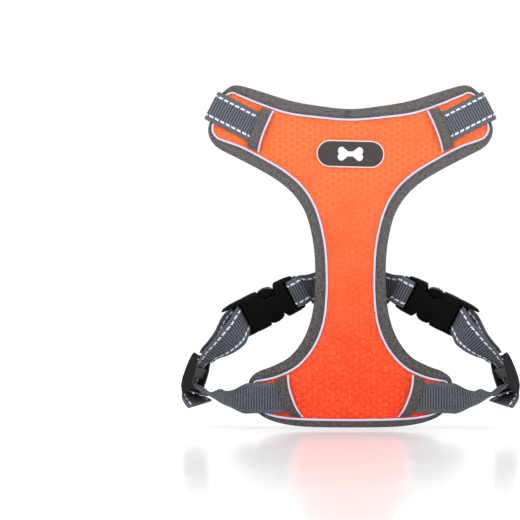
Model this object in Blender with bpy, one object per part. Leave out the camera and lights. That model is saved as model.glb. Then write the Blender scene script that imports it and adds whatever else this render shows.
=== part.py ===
"""No-pull dog harness, laid out as it hangs on a dog seen from the front.

Frame: +Z up towards the neck, the chest panel's outer face looks along -Y and its
lining lies in the plane y = 0, X is across the chest. Lengths below are millimetres.
"""
import math

import bmesh
import bpy
from mathutils import Vector

MM = 0.001

# webbing
WEB_W = 25.4
WEB_T = 1.5

# layers of the chest panel along Y, front first
CHEST_FABRIC = (-5.6, -4.8)
CHEST_FOAM = (-4.5, -1.7)
CHEST_LINING = (-1.4, 0.0)
CHEST_BIND_FRONT = (-7.2, -6.0)
CHEST_BIND_BACK = (-1.2, -0.2)
FRONT_WEB_Y = -8.4
BAND_T = 0.9

# layers of the back panel along Y, lining first
BACK_LINING = (16.0, 17.4)
BACK_FOAM = (17.7, 20.5)
BACK_FABRIC = (20.8, 21.6)
BACK_BIND_INNER = (16.2, 17.2)
BACK_BIND_OUTER = (22.0, 23.0)
BACK_WEB_Y = 24.2
EDGE_GAP = 1.6

# half outlines, top centre to bottom centre: x, z, width of the binding
CHEST_HALF = [
    (0, 121.3, 7.7), (27, 124, 8.3), (50, 128.2, 9.3), (72, 135, 8.8), (90, 140.3, 7),
    (98, 140.6, 5.2), (104.5, 136.5, 2.8), (109.5, 130.5, 2.2), (115.2, 115, 2),
    (118.3, 104.5, 2.4), (116, 95.5, 4), (109.5, 88.5, 6.5), (95, 81, 8.5),
    (75, 70.5, 8.5), (58, 60, 8.5), (45, 47.5, 8.5), (36, 31.5, 7.9), (30.7, 8, 8.1),
    (29.3, -14, 8.3), (29.9, -35, 8.7), (33, -54, 9.5), (39.5, -70.5, 9.5),
    (50, -84, 9), (63, -91.5, 8.5), (76, -96.5, 7), (83, -102, 4), (85, -110, 2.4),
    (83.5, -121, 2.2), (78, -130, 2.2), (70, -135.8, 2.8), (56, -140.3, 4),
    (35, -142.8, 5), (0, -143.3, 5),
]
BACK_HALF = [
    (0, 84, 5), (14, 86.5, 5), (28, 94, 5), (39, 101.5, 4.4), (46, 105.4, 3),
    (51.5, 103.8, 2.2), (57, 96, 2.2), (63, 84.5, 2.2), (64, 78, 3), (57, 71.5, 5),
    (44, 64, 5), (33, 55, 5), (27, 43, 5), (25, 28, 5), (24.5, 10, 5),
    (24.5, -12, 5), (24.5, -32, 5), (23, -48, 5), (18, -57, 4.5), (10, -61.5, 5),
    (0, -62.5, 5),
]

# cross bands that cover the webbing's sewn ends: their piping line, inboard edge
UPPER_BAND = [(64.2, 119.6), (70.7, 105.2), (74.3, 95.2), (76.6, 85.4)]
UPPER_BAND_OUT = [(73.4, 122.2), (78.6, 112.0), (82.8, 100.8), (86.0, 90.2)]
LOWER_BAND = [(51.8, -99.8), (51.2, -108), (49.1, -116.3), (45.0, -126.5), (39.8, -134.6)]
LOWER_BAND_OUT = [(61.2, -103.0), (60.2, -110.5), (57.6, -119.0), (53.8, -127.6),
                  (50.0, -133.6)]

BADGE = (0.0, 83.9, 56.3, 22.5)

# neck strap: fold at the wing tip and the direction it runs in along the wing
WING_TIP = Vector((114.9, 0, 124.2))
WING_ANGLE = 27.2
NECK_SLIDER_S = -34.0

# side-release buckle, right side: centre, slope of its axis, tilt of its face
BUCKLE_C = Vector((73.1, 16.0, -44.8))
BUCKLE_SLOPE = 26.5
BUCKLE_TILT = 20.0
RAIL_IN = 13.5
FEMALE_BAR = (-31.6, -28.0)
FEMALE_SLOT_END = -23.4
MALE_SLOT = 15.4
MALE_BAR = (19.9, 23.6)
BAR_DEPTH = (-1.5, 1.5)
FEMALE_LIP = (-25.4, -22.9)
MALE_LIP = (15.0, 18.4)
LIP_DEPTH = (-5.0, -4.2)
CAVITY = (-14.8, 14.8, 3.8)
PRONG_PIVOT = (12.2, 10.6)

# strap slider, right side
SLIDER_C = Vector((130.0, 10.0, -99.8))
SLIDER_U = Vector((-0.42, 0, 0.907)).normalized()
SLIDER_FACE = Vector((-0.95, -0.28, 0))

# leash ring
RING_AXIS = (31.2, -25.0)
RING_WIRE = 2.0

COLOURS = {
    "orange_fabric": ((0.95, 0.14, 0.04), 0.75, 0.0, 1.0),
    "foam": ((0.75, 0.74, 0.70), 0.9, 0.0, 1.0),
    "lining_mesh": ((0.06, 0.06, 0.065), 0.9, 0.0, 1.0),
    "grey_binding": ((0.10, 0.09, 0.085), 0.8, 0.0, 1.0),
    "reflective_piping": ((0.62, 0.69, 0.85), 0.35, 0.0, 1.0),
    "grey_webbing": ((0.075, 0.085, 0.10), 0.8, 0.0, 1.0),
    "black_plastic": ((0.012, 0.012, 0.013), 0.4, 0.0, 1.0),
    "badge_rubber": ((0.10, 0.078, 0.08), 0.5, 0.0, 1.0),
    "badge_rim": ((0.80, 0.79, 0.77), 0.5, 0.0, 1.0),
    "ring_steel": ((0.62, 0.62, 0.63), 0.25, 1.0, 1.0),
}


# ---------------------------------------------------------------- curves and frames

def catmull(points, per, closed=False):
    """Points on a smooth curve through tuples of any length."""
    out, n = [], len(points)
    for i in range(n if closed else n - 1):
        if closed:
            near = [points[(i + k) % n] for k in (-1, 0, 1, 2)]
        else:
            near = [points[min(max(i + k, 0), n - 1)] for k in (-1, 0, 1, 2)]
        for k in range(per):
            t = k / per
            out.append(tuple(
                0.5 * (2 * q + (r - p) * t + (2 * p - 5 * q + 4 * r - s) * t * t
                       + (3 * q - p - 3 * r + s) * t ** 3)
                for p, q, r, s in zip(*near)))
    if not closed:
        out.append(tuple(points[-1]))
    return out


def whole(half, per=2):
    """Full loop from a half outline, smoothed: (x, z, width) clockwise from the front."""
    left = [(-x, z, w) for x, z, w in reversed(half[1:-1])]
    return catmull(half + left, per, closed=True)


def inset(loop, amount):
    """(x, z) loop moved inwards: amount is a number or a function of the width."""
    out, n = [], len(loop)
    for i, (x, z, w) in enumerate(loop):
        ax, az, _ = loop[i - 1]
        bx, bz, _ = loop[(i + 1) % n]
        t = Vector((bx - ax, bz - az)).normalized()
        d = amount(w) if callable(amount) else amount
        out.append((x + t.y * d, z - t.x * d))
    return out


def axes(along, face):
    """Unit vectors: along, across, face, with face made square to along."""
    u = along.normalized()
    n = (face - u * face.dot(u)).normalized()
    return u, u.cross(n), n


def at(frame, centre, a, b, c):
    u, w, n = frame
    return centre + u * a + w * b + n * c


# ---------------------------------------------------------------- meshes

def material(slot):
    found = bpy.data.materials.get(slot)
    if found:
        return found
    rgb, rough, metal, alpha = COLOURS[slot]
    mat = bpy.data.materials.new(slot)
    mat.use_nodes = True
    node = mat.node_tree.nodes["Principled BSDF"]
    node.inputs["Base Color"].default_value = (*rgb, alpha)
    node.inputs["Roughness"].default_value = rough
    node.inputs["Metallic"].default_value = metal
    return mat


def add(name, verts, faces, slot, side=1, pivot=(0, 0, 0), smooth=35):
    """A closed body from points in millimetres; side -1 mirrors it across X."""
    pivot = Vector((pivot[0] * side, pivot[1], pivot[2]))
    bm = bmesh.new()
    made = [bm.verts.new((Vector((v[0] * side, v[1], v[2])) - pivot) * MM) for v in verts]
    for face in faces:
        bm.faces.new([made[i] for i in face])
    bmesh.ops.recalc_face_normals(bm, faces=bm.faces)
    mesh = bpy.data.meshes.new(name)
    bm.to_mesh(mesh)
    bm.free()
    obj = bpy.data.objects.new(name, mesh)
    obj.location = pivot * MM
    bpy.context.collection.objects.link(obj)
    mesh.materials.append(material(slot))
    if smooth:
        mesh.shade_smooth()
        mesh.set_sharp_from_angle(angle=math.radians(smooth))
    return obj


def plate(name, loop, y, slot, side=1):
    """Flat piece: an (x, z) outline between two depths."""
    n = len(loop)
    verts = [(x, y[0], z) for x, z in loop] + [(x, y[1], z) for x, z in loop]
    faces = [list(range(n)), list(range(n, 2 * n))]
    faces += [[i, (i + 1) % n, (i + 1) % n + n, i + n] for i in range(n)]
    return add(name, verts, faces, slot, side, smooth=0)


def sweep(name, sections, slot, closed=False, side=1, pivot=(0, 0, 0), smooth=35):
    """Body through matching sections, end caps unless the path closes."""
    m, n = len(sections[0]), len(sections)
    verts = [p for section in sections for p in section]
    faces = []
    for i in range(n if closed else n - 1):
        a, b = i * m, (i + 1) % n * m
        faces += [[a + k, a + (k + 1) % m, b + (k + 1) % m, b + k] for k in range(m)]
    if not closed:
        faces += [list(range(m)), list(range((n - 1) * m, n * m))]
    return add(name, verts, faces, slot, side, pivot, smooth)


def binding(name, loop, outer, inner, slot):
    """Folded tape round a panel's edge: a U section whose legs follow the width."""
    (f0, f1), (b0, b1) = outer, inner
    far = f0 if abs(f0 - b0) > abs(f1 - b0) else f1
    near = f1 if far == f0 else f0
    back_out = b1 if abs(b1 - near) > abs(b0 - near) else b0
    back_in = b0 if back_out == b1 else b1
    way = 1 if far > back_out else -1

    def profile(w):
        leg = min(w, 6.5)
        return [(0.5, far), (w, far - 0.1 * way), (w, near), (1.2, near), (1.2, back_in),
                (leg, back_in), (leg, back_out + 0.1 * way), (0.5, back_out),
                (0, back_out + 0.6 * way), (0, far - 0.7 * way)]

    count = len(profile(5))
    rails = [inset(loop, lambda w, k=k: profile(w)[k][0]) for k in range(count)]
    sections = [[(rails[k][i][0], profile(loop[i][2])[k][1], rails[k][i][1])
                 for k in range(count)] for i in range(len(loop))]
    return sweep(name, sections, slot, closed=True)


def edge_piping(name, loop, y, slot, wide=1.7, thick=1.1):
    """Thin raised line along the binding's inner edge."""
    shape = [(0, -0.25), (0, 0.25), (0.3, 0.5), (0.7, 0.5), (1, 0.25), (1, -0.25),
             (0.7, -0.5), (0.3, -0.5)]
    rails = [inset(loop, lambda w, a=a: w + 0.3 + a * wide) for a, _ in shape]
    sections = [[(rails[k][i][0], y + shape[k][1] * thick, rails[k][i][1])
                 for k in range(len(shape))] for i in range(len(loop))]
    return sweep(name, sections, slot, closed=True)


def ribbon_sections(stations, width=WEB_W, thick=WEB_T):
    """Sections of a strap through (point, width direction) stations."""
    out = []
    for i, (p, w) in enumerate(stations):
        t = (stations[min(i + 1, len(stations) - 1)][0] - stations[max(i - 1, 0)][0])
        w = w.normalized()
        n = w.cross(t).normalized() * thick / 2
        e = w * width / 2
        inner = w * (width / 2 - 0.5)
        out.append([p + e, p + inner + n, p - inner + n, p - e, p - inner - n, p + inner - n])
    return out


def stations(points, per):
    """Smooth stations through (x, y, z, wx, wy, wz) tuples."""
    return [(Vector(p[:3]), Vector(p[3:])) for p in catmull(points, per)]


def ribbon(name, points, slot, per=3, side=1, width=WEB_W, thick=WEB_T):
    return sweep(name, ribbon_sections(stations(points, per), width, thick), slot, side=side)


def ladder(name, centre, frame, rail, bars, w_in, w_out, slot, side=1):
    """Slider: two side rails of one profile joined by cross bars, one closed body."""
    bm = bmesh.new()

    def ring(loop, w):
        return [bm.verts.new(at(frame, centre, a, w, c)) for a, c in loop]

    def wall(one, two):
        n = len(one)
        for i in range(n):
            bm.faces.new([one[i], one[(i + 1) % n], two[(i + 1) % n], two[i]])

    def edges(loop):
        return [bm.edges.get((loop[i - 1], loop[i])) for i in range(len(loop))]

    inner_ends = []
    for way in (-1, 1):
        outer, inner = ring(rail, way * w_out), ring(rail, way * w_in)
        wall(outer, inner)
        bm.faces.new(outer)
        inner_ends.append((inner, [ring(bar, way * w_in) for bar in bars]))
    for one, two in zip(inner_ends[0][1], inner_ends[1][1]):
        wall(one, two)
    for inner, holes in inner_ends:
        rim = edges(inner) + [e for hole in holes for e in edges(hole)]
        bmesh.ops.triangle_fill(bm, use_beauty=True, use_dissolve=False, edges=rim)
    verts = list(bm.verts)
    index = {v: i for i, v in enumerate(verts)}
    faces = [[index[v] for v in f.verts] for f in bm.faces]
    points = [v.co.copy() for v in verts]
    bm.free()
    return add(name, points, faces, slot, side)


def box_points(x, y, z):
    verts = [(a, b, c) for a in x for b in y for c in z]
    faces = [[0, 1, 3, 2], [4, 5, 7, 6], [0, 1, 5, 4], [2, 3, 7, 6], [0, 2, 6, 4], [1, 3, 7, 5]]
    return verts, faces


def local_box(name, centre, frame, x, y, z, side):
    """Box given in a part's own axes, used to cut or to join."""
    verts, faces = box_points(x, y, z)
    return add(name, [at(frame, centre, *v) for v in verts], faces, "black_plastic", side,
               smooth=0)


def combine(target, tool, operation):
    """Boolean with a helper that never shows."""
    tool.hide_render = True
    tool.display_type = "WIRE"
    mod = target.modifiers.new(tool.name, "BOOLEAN")
    mod.operation = operation
    mod.solver = "EXACT"
    mod.object = tool


def shell_sections(centre, frame, stations_in, corner=0.45):
    """Rounded-rectangle sections (x, half width, half thickness) of a moulded body."""
    out = []
    for x, hy, hz in stations_in:
        r = hz * corner * 1.6
        ring = []
        for sy, sz in ((1, 1), (-1, 1), (-1, -1), (1, -1)):
            arc = [(hy, hz - r), (hy - r * 0.3, hz - r * 0.3), (hy - r, hz)]
            arc = arc if sy * sz > 0 else arc[::-1]
            ring += [at(frame, centre, x, sy * a, sz * b) for a, b in arc]
        out.append(ring)
    return out


# ---------------------------------------------------------------- panels

def chest_panel():
    loop = whole(CHEST_HALF)
    plate("chest_fabric", inset(loop, EDGE_GAP), CHEST_FABRIC, "orange_fabric")
    plate("chest_foam", inset(loop, EDGE_GAP), CHEST_FOAM, "foam")
    plate("chest_lining", inset(loop, lambda w: min(w, 6.5) + 0.4), CHEST_LINING,
          "lining_mesh")
    binding("chest_binding", loop, CHEST_BIND_FRONT, CHEST_BIND_BACK, "grey_binding")
    edge_piping("chest_piping", loop, -6.5, "reflective_piping")


def back_panel():
    loop = whole(BACK_HALF)
    plate("back_fabric", inset(loop, EDGE_GAP), BACK_FABRIC, "orange_fabric")
    plate("back_foam", inset(loop, EDGE_GAP), BACK_FOAM, "foam")
    plate("back_lining", inset(loop, lambda w: min(w, 6.5) + 0.4), BACK_LINING,
          "lining_mesh")
    binding("back_binding", loop, BACK_BIND_OUTER, BACK_BIND_INNER, "grey_binding")
    edge_piping("back_piping", loop, 22.5, "reflective_piping", wide=1.4)


def pill(width, height, count=12):
    """Outline of a bar with round ends."""
    r, out = height / 2, []
    for way in (1, -1):
        for k in range(count + 1):
            a = math.radians(90 - 180 * k / count)
            out.append((way * (width / 2 - r + r * math.cos(a)), way * r * math.sin(a)))
    return out


def badge():
    x, z, wide, high = BADGE
    outer = [(x + a, z + b) for a, b in pill(wide, high)]
    inner = [(x + a, z + b) for a, b in pill(wide - 3.0, high - 3.0)]
    core = [(x + a, z + b) for a, b in pill(wide - 3.8, high - 3.8)]
    plate("badge", core, (-7.3, -5.95), "badge_rubber")
    sections = [[(a[0], -7.5, a[1]), (b[0], -7.5, b[1]), (b[0], -5.95, b[1]),
                 (a[0], -5.95, a[1])] for a, b in zip(outer, inner)]
    sweep("badge_rim", sections, "badge_rim", closed=True, smooth=0)


def band(prefix, line, far_line, web_at, side_name, side):
    """Cross band over a strap's sewn end, humped where the webbing lies beneath."""
    sections, edge = [], []
    for (x, z), (fx, fz) in zip(catmull(line, 3), catmull(far_line, 3)):
        out = Vector((fx - x, fz - z)).normalized()
        off = ((Vector((x, z)) + Vector((fx, fz))) / 2 - Vector(web_at)).length
        hump = min(max((17.9 - off) / 3.4, 0), 1)
        hump = hump * hump * (3 - 2 * hump)
        y = -6.45 - 3.6 * hump
        nx, nz = x + out.x * 1.3, z + out.y * 1.3
        sections.append([(nx, y - BAND_T / 2, nz), (fx, y - BAND_T / 2, fz),
                         (fx, y + BAND_T / 2, fz), (nx, y + BAND_T / 2, nz)])
        e = Vector((x, -6.55 - 2.95 * hump, z)) + Vector((out.x, 0, out.y)) * 0.1
        edge.append((e, Vector((out.x, 0, out.y))))
    sweep(f"{prefix}_band_{side_name}", sections, "grey_binding", side=side)
    sweep(f"{prefix}_band_piping_{side_name}", ribbon_sections(edge, 1.7, 1.0),
          "reflective_piping", side=side)


# ---------------------------------------------------------------- neck

def wing_axes():
    a = math.radians(WING_ANGLE)
    return Vector((math.cos(a), 0, math.sin(a))), Vector((-math.sin(a), 0, math.cos(a)))


def neck_strap(side_name, side):
    """From under the upper band, round the wing tip and back up to the back panel."""
    d, across = wing_axes()
    run = [(-42.5, FRONT_WEB_Y), (-30, FRONT_WEB_Y), (-12, FRONT_WEB_Y), (-4.6, -8.4),
           (-1.7, -8.0), (0.0, -6.6), (0.5, -4.6), (0.4, -2.0), (-0.8, 0.8), (-3.6, 2.9),
           (-8, 4.6),
           (-21, 9.4), (-34, 14.3), (-47, 19.3), (-57, 23.0), (-63, 24.2), (-76, BACK_WEB_Y),
           (-88, BACK_WEB_Y)]
    points = [(*(WING_TIP + d * s + Vector((0, y, 0))), *across) for s, y in run]
    ribbon(f"neck_strap_{side_name}", points, "grey_webbing", per=2, side=side)


def neck_slider_frame():
    d, across = wing_axes()
    along = (-d * 26.0 + Vector((0, 9.9, 0))).normalized()
    face = along.cross(across)
    frame = axes(along, face if face.y > 0 else -face)
    return frame, WING_TIP + d * NECK_SLIDER_S + Vector((0, 14.3, 0))


def neck_slider(side_name, side):
    frame, centre = neck_slider_frame()
    rail = [(-15.8, -2.4), (-15.0, -3.1), (0, -3.3), (15.0, -3.1), (15.8, -2.4), (15.8, -0.6),
            (12, 1.6), (5, 3.1), (-5, 3.1), (-12, 1.6), (-15.8, -0.6)]
    bars = [[(11.6, -2.7), (14.4, -2.7), (14.4, -1.2), (11.6, -1.2)],
            [(-14.4, -2.7), (-11.6, -2.7), (-11.6, -1.2), (-14.4, -1.2)],
            [(-2, 1.2), (2, 1.2), (2, 2.7), (-2, 2.7)]]
    ladder(f"neck_slider_{side_name}", centre, frame, rail, bars, 13.3, 16.4,
           "black_plastic", side)


# ---------------------------------------------------------------- buckle

def buckle_frame():
    a, t = math.radians(BUCKLE_SLOPE), math.radians(BUCKLE_TILT)
    along = Vector((math.cos(a), 0, -math.sin(a)))
    u, w, n = axes(along, Vector((0, -math.cos(t), -math.sin(t))))
    return u, (w if w.z > 0 else -w), n


def female_clip(side_name, side):
    frame = buckle_frame()
    shape = [(-33, 13.9, 2.4), (-32, 15.1, 3.4), (-26, 16.0, 4.4), (-19, 16.2, 5.2),
             (-16.5, 16.0, 5.4), (-13.5, 11.5, 5.5), (-9, 9.0, 5.6), (-5, 9.4, 5.6),
             (-2, 12.5, 5.6), (0, 16.2, 5.6), (6, 16.5, 5.6), (12.5, 16.4, 5.5)]
    body = sweep(f"female_clip_{side_name}", shell_sections(BUCKLE_C, frame, shape),
                 "black_plastic", side=side)
    cuts = [("strap_gap", (-36, FEMALE_SLOT_END), (-RAIL_IN, RAIL_IN), (-9, 9)),
            ("socket", (CAVITY[0], 15), (-CAVITY[1], CAVITY[1]), (-CAVITY[2], CAVITY[2]))]
    for label, x, y, z in cuts:
        tool = local_box(f"cut_{label}_{side_name}", BUCKLE_C, frame, x, y, z, side)
        combine(body, tool, "DIFFERENCE")
    wide = (-RAIL_IN - 0.6, RAIL_IN + 0.6)
    for label, x, z in (("bar", FEMALE_BAR, BAR_DEPTH), ("lip", FEMALE_LIP, LIP_DEPTH)):
        tool = local_box(f"join_{label}_{side_name}", BUCKLE_C, frame, x, wide, z, side)
        combine(body, tool, "UNION")


def male_clip(side_name, side):
    frame = buckle_frame()
    shape = [(12.9, 16.3, 5.4), (18, 16.4, 5.3), (25, 16.2, 4.6), (31, 15.2, 3.7),
             (33, 13.9, 2.6)]
    body = sweep(f"male_clip_{side_name}", shell_sections(BUCKLE_C, frame, shape),
                 "black_plastic", side=side)
    gap = local_box(f"cut_male_gap_{side_name}", BUCKLE_C, frame, (MALE_SLOT, 36),
                    (-RAIL_IN, RAIL_IN), (-9, 9), side)
    combine(body, gap, "DIFFERENCE")
    wide = (-RAIL_IN - 0.6, RAIL_IN + 0.6)
    for label, x, y, z in (("bar", MALE_BAR, wide, BAR_DEPTH),
                           ("lip", MALE_LIP, wide, LIP_DEPTH),
                           ("tongue", (-9, 13.6), (-2.4, 2.4), (-2.5, 2.5))):
        tool = local_box(f"join_male_{label}_{side_name}", BUCKLE_C, frame, x, y, z, side)
        combine(body, tool, "UNION")


def prong(end_name, way, side_name, side):
    """Springy arm with the grip that shows in the socket's side window."""
    frame = buckle_frame()
    outline = [(12.5, 8.6), (12.5, 12.4), (6, 13.2), (-0.6, 13.8), (-1.6, 14.7), (-3.6, 15.7),
               (-7, 15.9), (-11, 15.0), (-13.6, 12.8), (-13.8, 10.4), (-10, 8.2), (-4, 8.6),
               (4, 9.4)]
    pivot = at(frame, BUCKLE_C, PRONG_PIVOT[0], way * PRONG_PIVOT[1], 0)
    heights = [(-3.1, 0.35), (-2.5, 0.0), (2.5, 0.0), (3.1, 0.35)]
    cx, cy = -1.0, 11.4
    sections = []
    for h, shrink in heights:
        ring = []
        for x, y in outline:
            away = Vector((x - cx, y - cy))
            away = away.normalized() * shrink
            ring.append(at(frame, BUCKLE_C, x - away.x, way * (y - away.y), h))
        sections.append(ring)
    sweep(f"prong_{end_name}_{side_name}", sections, "black_plastic", side=side, pivot=pivot)


# ---------------------------------------------------------------- straps at the sides

def girth_webbing():
    """One strap over the back panel, its ends looped round both socket bars."""
    frame = buckle_frame()
    bar = (FEMALE_BAR[0] + FEMALE_BAR[1]) / 2
    w = frame[1]
    half = [(12, BACK_WEB_Y, -25.6, 0, 0, 1), (20, BACK_WEB_Y, -25.7, 0, 0, 1),
            (27, 23.4, -26.6, 0.06, -0.04, 1), (34, 19.4, -28.8, 0.2, -0.14, 0.97)]
    loop = [(-38.5, 1.4), (-34.5, 2.5), (-30, 2.75), (-27.9, 2.6), (-26.7, 1.9), (-26.2, 0),
            (-26.7, -1.9), (-27.9, -2.6), (-30, -2.75), (-33.2, -2.75), (-36, -2.6)]
    loop = [(x + bar + 29.8, z) for x, z in loop]
    half += [(*at(frame, BUCKLE_C, x, 0, z), *w) for x, z in loop]
    mirrored = [(-p[0], p[1], p[2], -p[3], p[4], p[5]) for p in reversed(half)]
    ribbon("girth_webbing", mirrored + [(0, BACK_WEB_Y, -25.6, 0, 0, 1)] + half,
           "grey_webbing", per=2)


def girth_slider(side_name, side):
    frame = axes(SLIDER_U, SLIDER_FACE)
    rail = [(17.5, -2.6), (16.8, -0.6), (12, 2.6), (4, 4.8), (-6, 6.2), (-12, 6.6),
            (-16, 5.6), (-17.4, 3.6), (-16.6, 1.4), (-12, -1.6), (-6, -3.2), (2, -4.1),
            (9, -4.4), (14, -4.2), (16.8, -3.6)]
    bars = [[(12.8, -3.6), (16.2, -3.3), (16.0, -1.5), (12.8, -1.3)],
            [(-2.6, 1.35), (7.0, 1.35), (6.6, 3.3), (-2.2, 3.3)],
            [(-12.2, 3.3), (-9.4, 3.3), (-9.4, 5.4), (-12.2, 5.4)]]
    ladder(f"girth_slider_{side_name}", SLIDER_C, frame, rail, bars, 13.3, 16.6,
           "black_plastic", side)


def reflective_strap(side_name, side):
    """Hemmed tail, through the slider, up to the plug's bar, round it and back down."""
    s, b = axes(SLIDER_U, SLIDER_FACE), buckle_frame()

    def in_slider(u, n):
        return (*at(s, SLIDER_C, u, 0, n), *s[1])

    def in_clip(x, y, z, turn=0.0):
        return (*at(b, BUCKLE_C, x, y, z), *(b[1] + b[0] * turn))

    points = [
        (125.8, 4.2, -124.4, 0.75, -0.63, -0.20), (129.4, 6.2, -121.7, 0.68, -0.71, -0.14),
        (133.2, 8.4, -118.8, 0.55, -0.83, -0.02), in_slider(-17.0, 0.6),
        in_slider(-14.5, 0), in_slider(-8, 0), in_slider(0, 0), in_slider(6, 0),
        in_slider(9.5, 0.6), in_slider(12.4, 1.8), (120.4, 8.1, -87.4, 0.33, -0.90, 0.25),
        (116.6, 7.6, -83.4, 0.40, -0.86, 0.32), (109.6, 7.4, -78.6, 0.53, -0.71, 0.46),
        (102.4, 8.4, -72.4, 0.60, -0.52, 0.61),
    ]
    points += [in_clip(28.4, -5.8, 7.8, 0.13), in_clip(23.8, -2.6, 6.9, 0.08),
               in_clip(20.6, -0.8, 5.0, 0.02), in_clip(18.6, 0, 2.6), in_clip(17.9, 0, 0.2),
               in_clip(18.6, 0, -2.2), in_clip(21.2, 0, -3.3), in_clip(24.4, -0.5, -4.9),
               in_clip(28, -2.3, -6.2, 0.05), in_clip(33, -4.4, -5.2, 0.1)]
    points += [
        (106.5, 14.8, -71.6, 0.58, -0.56, 0.59), (112.6, 12.4, -77.2, 0.50, -0.74, 0.43),
        (118.6, 11.4, -81.2, 0.40, -0.86, 0.32), in_slider(18.8, -0.2),
    ]
    ribbon(f"reflective_strap_{side_name}", points, "grey_webbing", per=3, side=side)


def plain_strap(side_name, side):
    """From under the lower band out past the corner, turning edge-on to the slider."""
    s = axes(SLIDER_U, SLIDER_FACE)
    joint = 15.5
    points = [
        (53.6, FRONT_WEB_Y, -118.2, 0, 0, -1), (70, FRONT_WEB_Y, -118.6, 0, 0, -1),
        (83, -8.9, -118.8, 0, 0.02, -1), (90, -10.4, -119.2, 0, -0.5, -0.86),
        (97, -8.6, -119.2, 0.03, -0.82, -0.57), (105, -5.2, -118.2, 0.10, -0.93, -0.35),
        (111.8, -1.2, -115.2, 0.2, -0.96, -0.22),
        (*at(s, SLIDER_C, -9.9, 0, joint + 0.9), *s[1]),
    ]
    ribbon(f"plain_strap_{side_name}", points, "grey_webbing", per=6, side=side)
    loop = [(-9.9, joint), (-9.0, 11), (-8.1, 7), (-7.95, 4.6), (-8.7, 2.6), (-10.8, 1.95),
            (-12.9, 2.6), (-13.7, 4.6), (-13.5, 7.4), (-12.9, 10.6), (-12.6, 14)]
    points = [(*at(s, SLIDER_C, u, 0, n), *s[1]) for u, n in loop]
    ribbon(f"strap_loop_{side_name}", points, "grey_webbing", per=2, side=side)


# ---------------------------------------------------------------- spine

def spine():
    x = (1, 0, 0)
    under = [(72, 22.8), (40, 22.8), (0, 22.8), (-7, 22.9), (-11.5, 25.6), (-16, 26.15),
             (-35, 26.15), (-40, 25.9), (-44, 23.6), (-50, 22.8)]
    ribbon("spine_webbing", [(0, y, z, *x) for z, y in under], "grey_webbing", per=2)
    arch = [(67, 24.8), (59, 24.9), (54, 27.2), (49, 33.5), (42, 40.5), (31, 44.5),
            (20, 40.5), (13, 33.5), (8, 27.2), (3.5, 24.9), (-4, 24.8)]
    ribbon("handle", [(0, y, z, *x) for z, y in arch], "grey_webbing", per=2)
    y0, z0 = RING_AXIS
    r = RING_WIRE + 0.4 + WEB_T / 2
    hoop = [(z0 + 10, 28.0), (z0 + 6, 28.0), (z0 + r + 0.5, 28.8), (z0 + r, y0)]
    hoop += [(z0 + r * math.cos(a), y0 + r * math.sin(a))
             for a in (math.radians(k) for k in (30, 60, 90, 120, 150))]
    hoop += [(z0 - r, y0), (z0 - r - 0.5, 28.8), (z0 - 6, 28.0), (z0 - 10, 28.0)]
    ribbon("ring_keeper", [(0, y, z, *x) for z, y in hoop], "grey_webbing", per=2, width=21)


def leash_ring():
    """D-shaped ring hanging from its straight side, which is the hinge."""
    y0, z0 = RING_AXIS
    half, depth, r = 15.0, 29.0, RING_WIRE
    path = [(-half + 3, 0), (0, 0), (half - 3, 0), (half - 0.6, -0.9), (half, -3.4)]
    path += [(half * math.cos(a), -(depth - half) - half * math.sin(a))
             for a in (math.radians(k * 20) for k in range(0, 10))]
    path += [(-half, -3.4), (-half + 0.6, -0.9)]
    n, sections = len(path), []
    for i, (x, z) in enumerate(path):
        ax, az = path[i - 1]
        bx, bz = path[(i + 1) % n]
        t = Vector((bx - ax, 0, bz - az)).normalized()
        side_way, depth_way = Vector((t.z, 0, -t.x)), Vector((0, 1, 0))
        centre = Vector((x, y0, z0 + z))
        sections.append([centre + side_way * r * math.cos(a) + depth_way * r * math.sin(a)
                         for a in (math.radians(k * 36) for k in range(10))])
    sweep("leash_ring", sections, "ring_steel", closed=True, pivot=(0, y0, z0), smooth=60)


def build():
    for obj in list(bpy.data.objects):
        bpy.data.objects.remove(obj)
    chest_panel()
    back_panel()
    badge()
    girth_webbing()
    spine()
    leash_ring()
    for side_name, side in (("right", 1), ("left", -1)):
        band("upper", UPPER_BAND, UPPER_BAND_OUT, (77.7, 105.4), side_name, side)
        band("lower", LOWER_BAND, LOWER_BAND_OUT, (53.6, -117.2), side_name, side)
        neck_strap(side_name, side)
        neck_slider(side_name, side)
        female_clip(side_name, side)
        male_clip(side_name, side)
        prong("top", 1, side_name, side)
        prong("bottom", -1, side_name, side)
        girth_slider(side_name, side)
        reflective_strap(side_name, side)
        plain_strap(side_name, side)


build()
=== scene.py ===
"""Looks of the no-pull dog harness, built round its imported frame. Lengths are millimetres."""
import math

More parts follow.
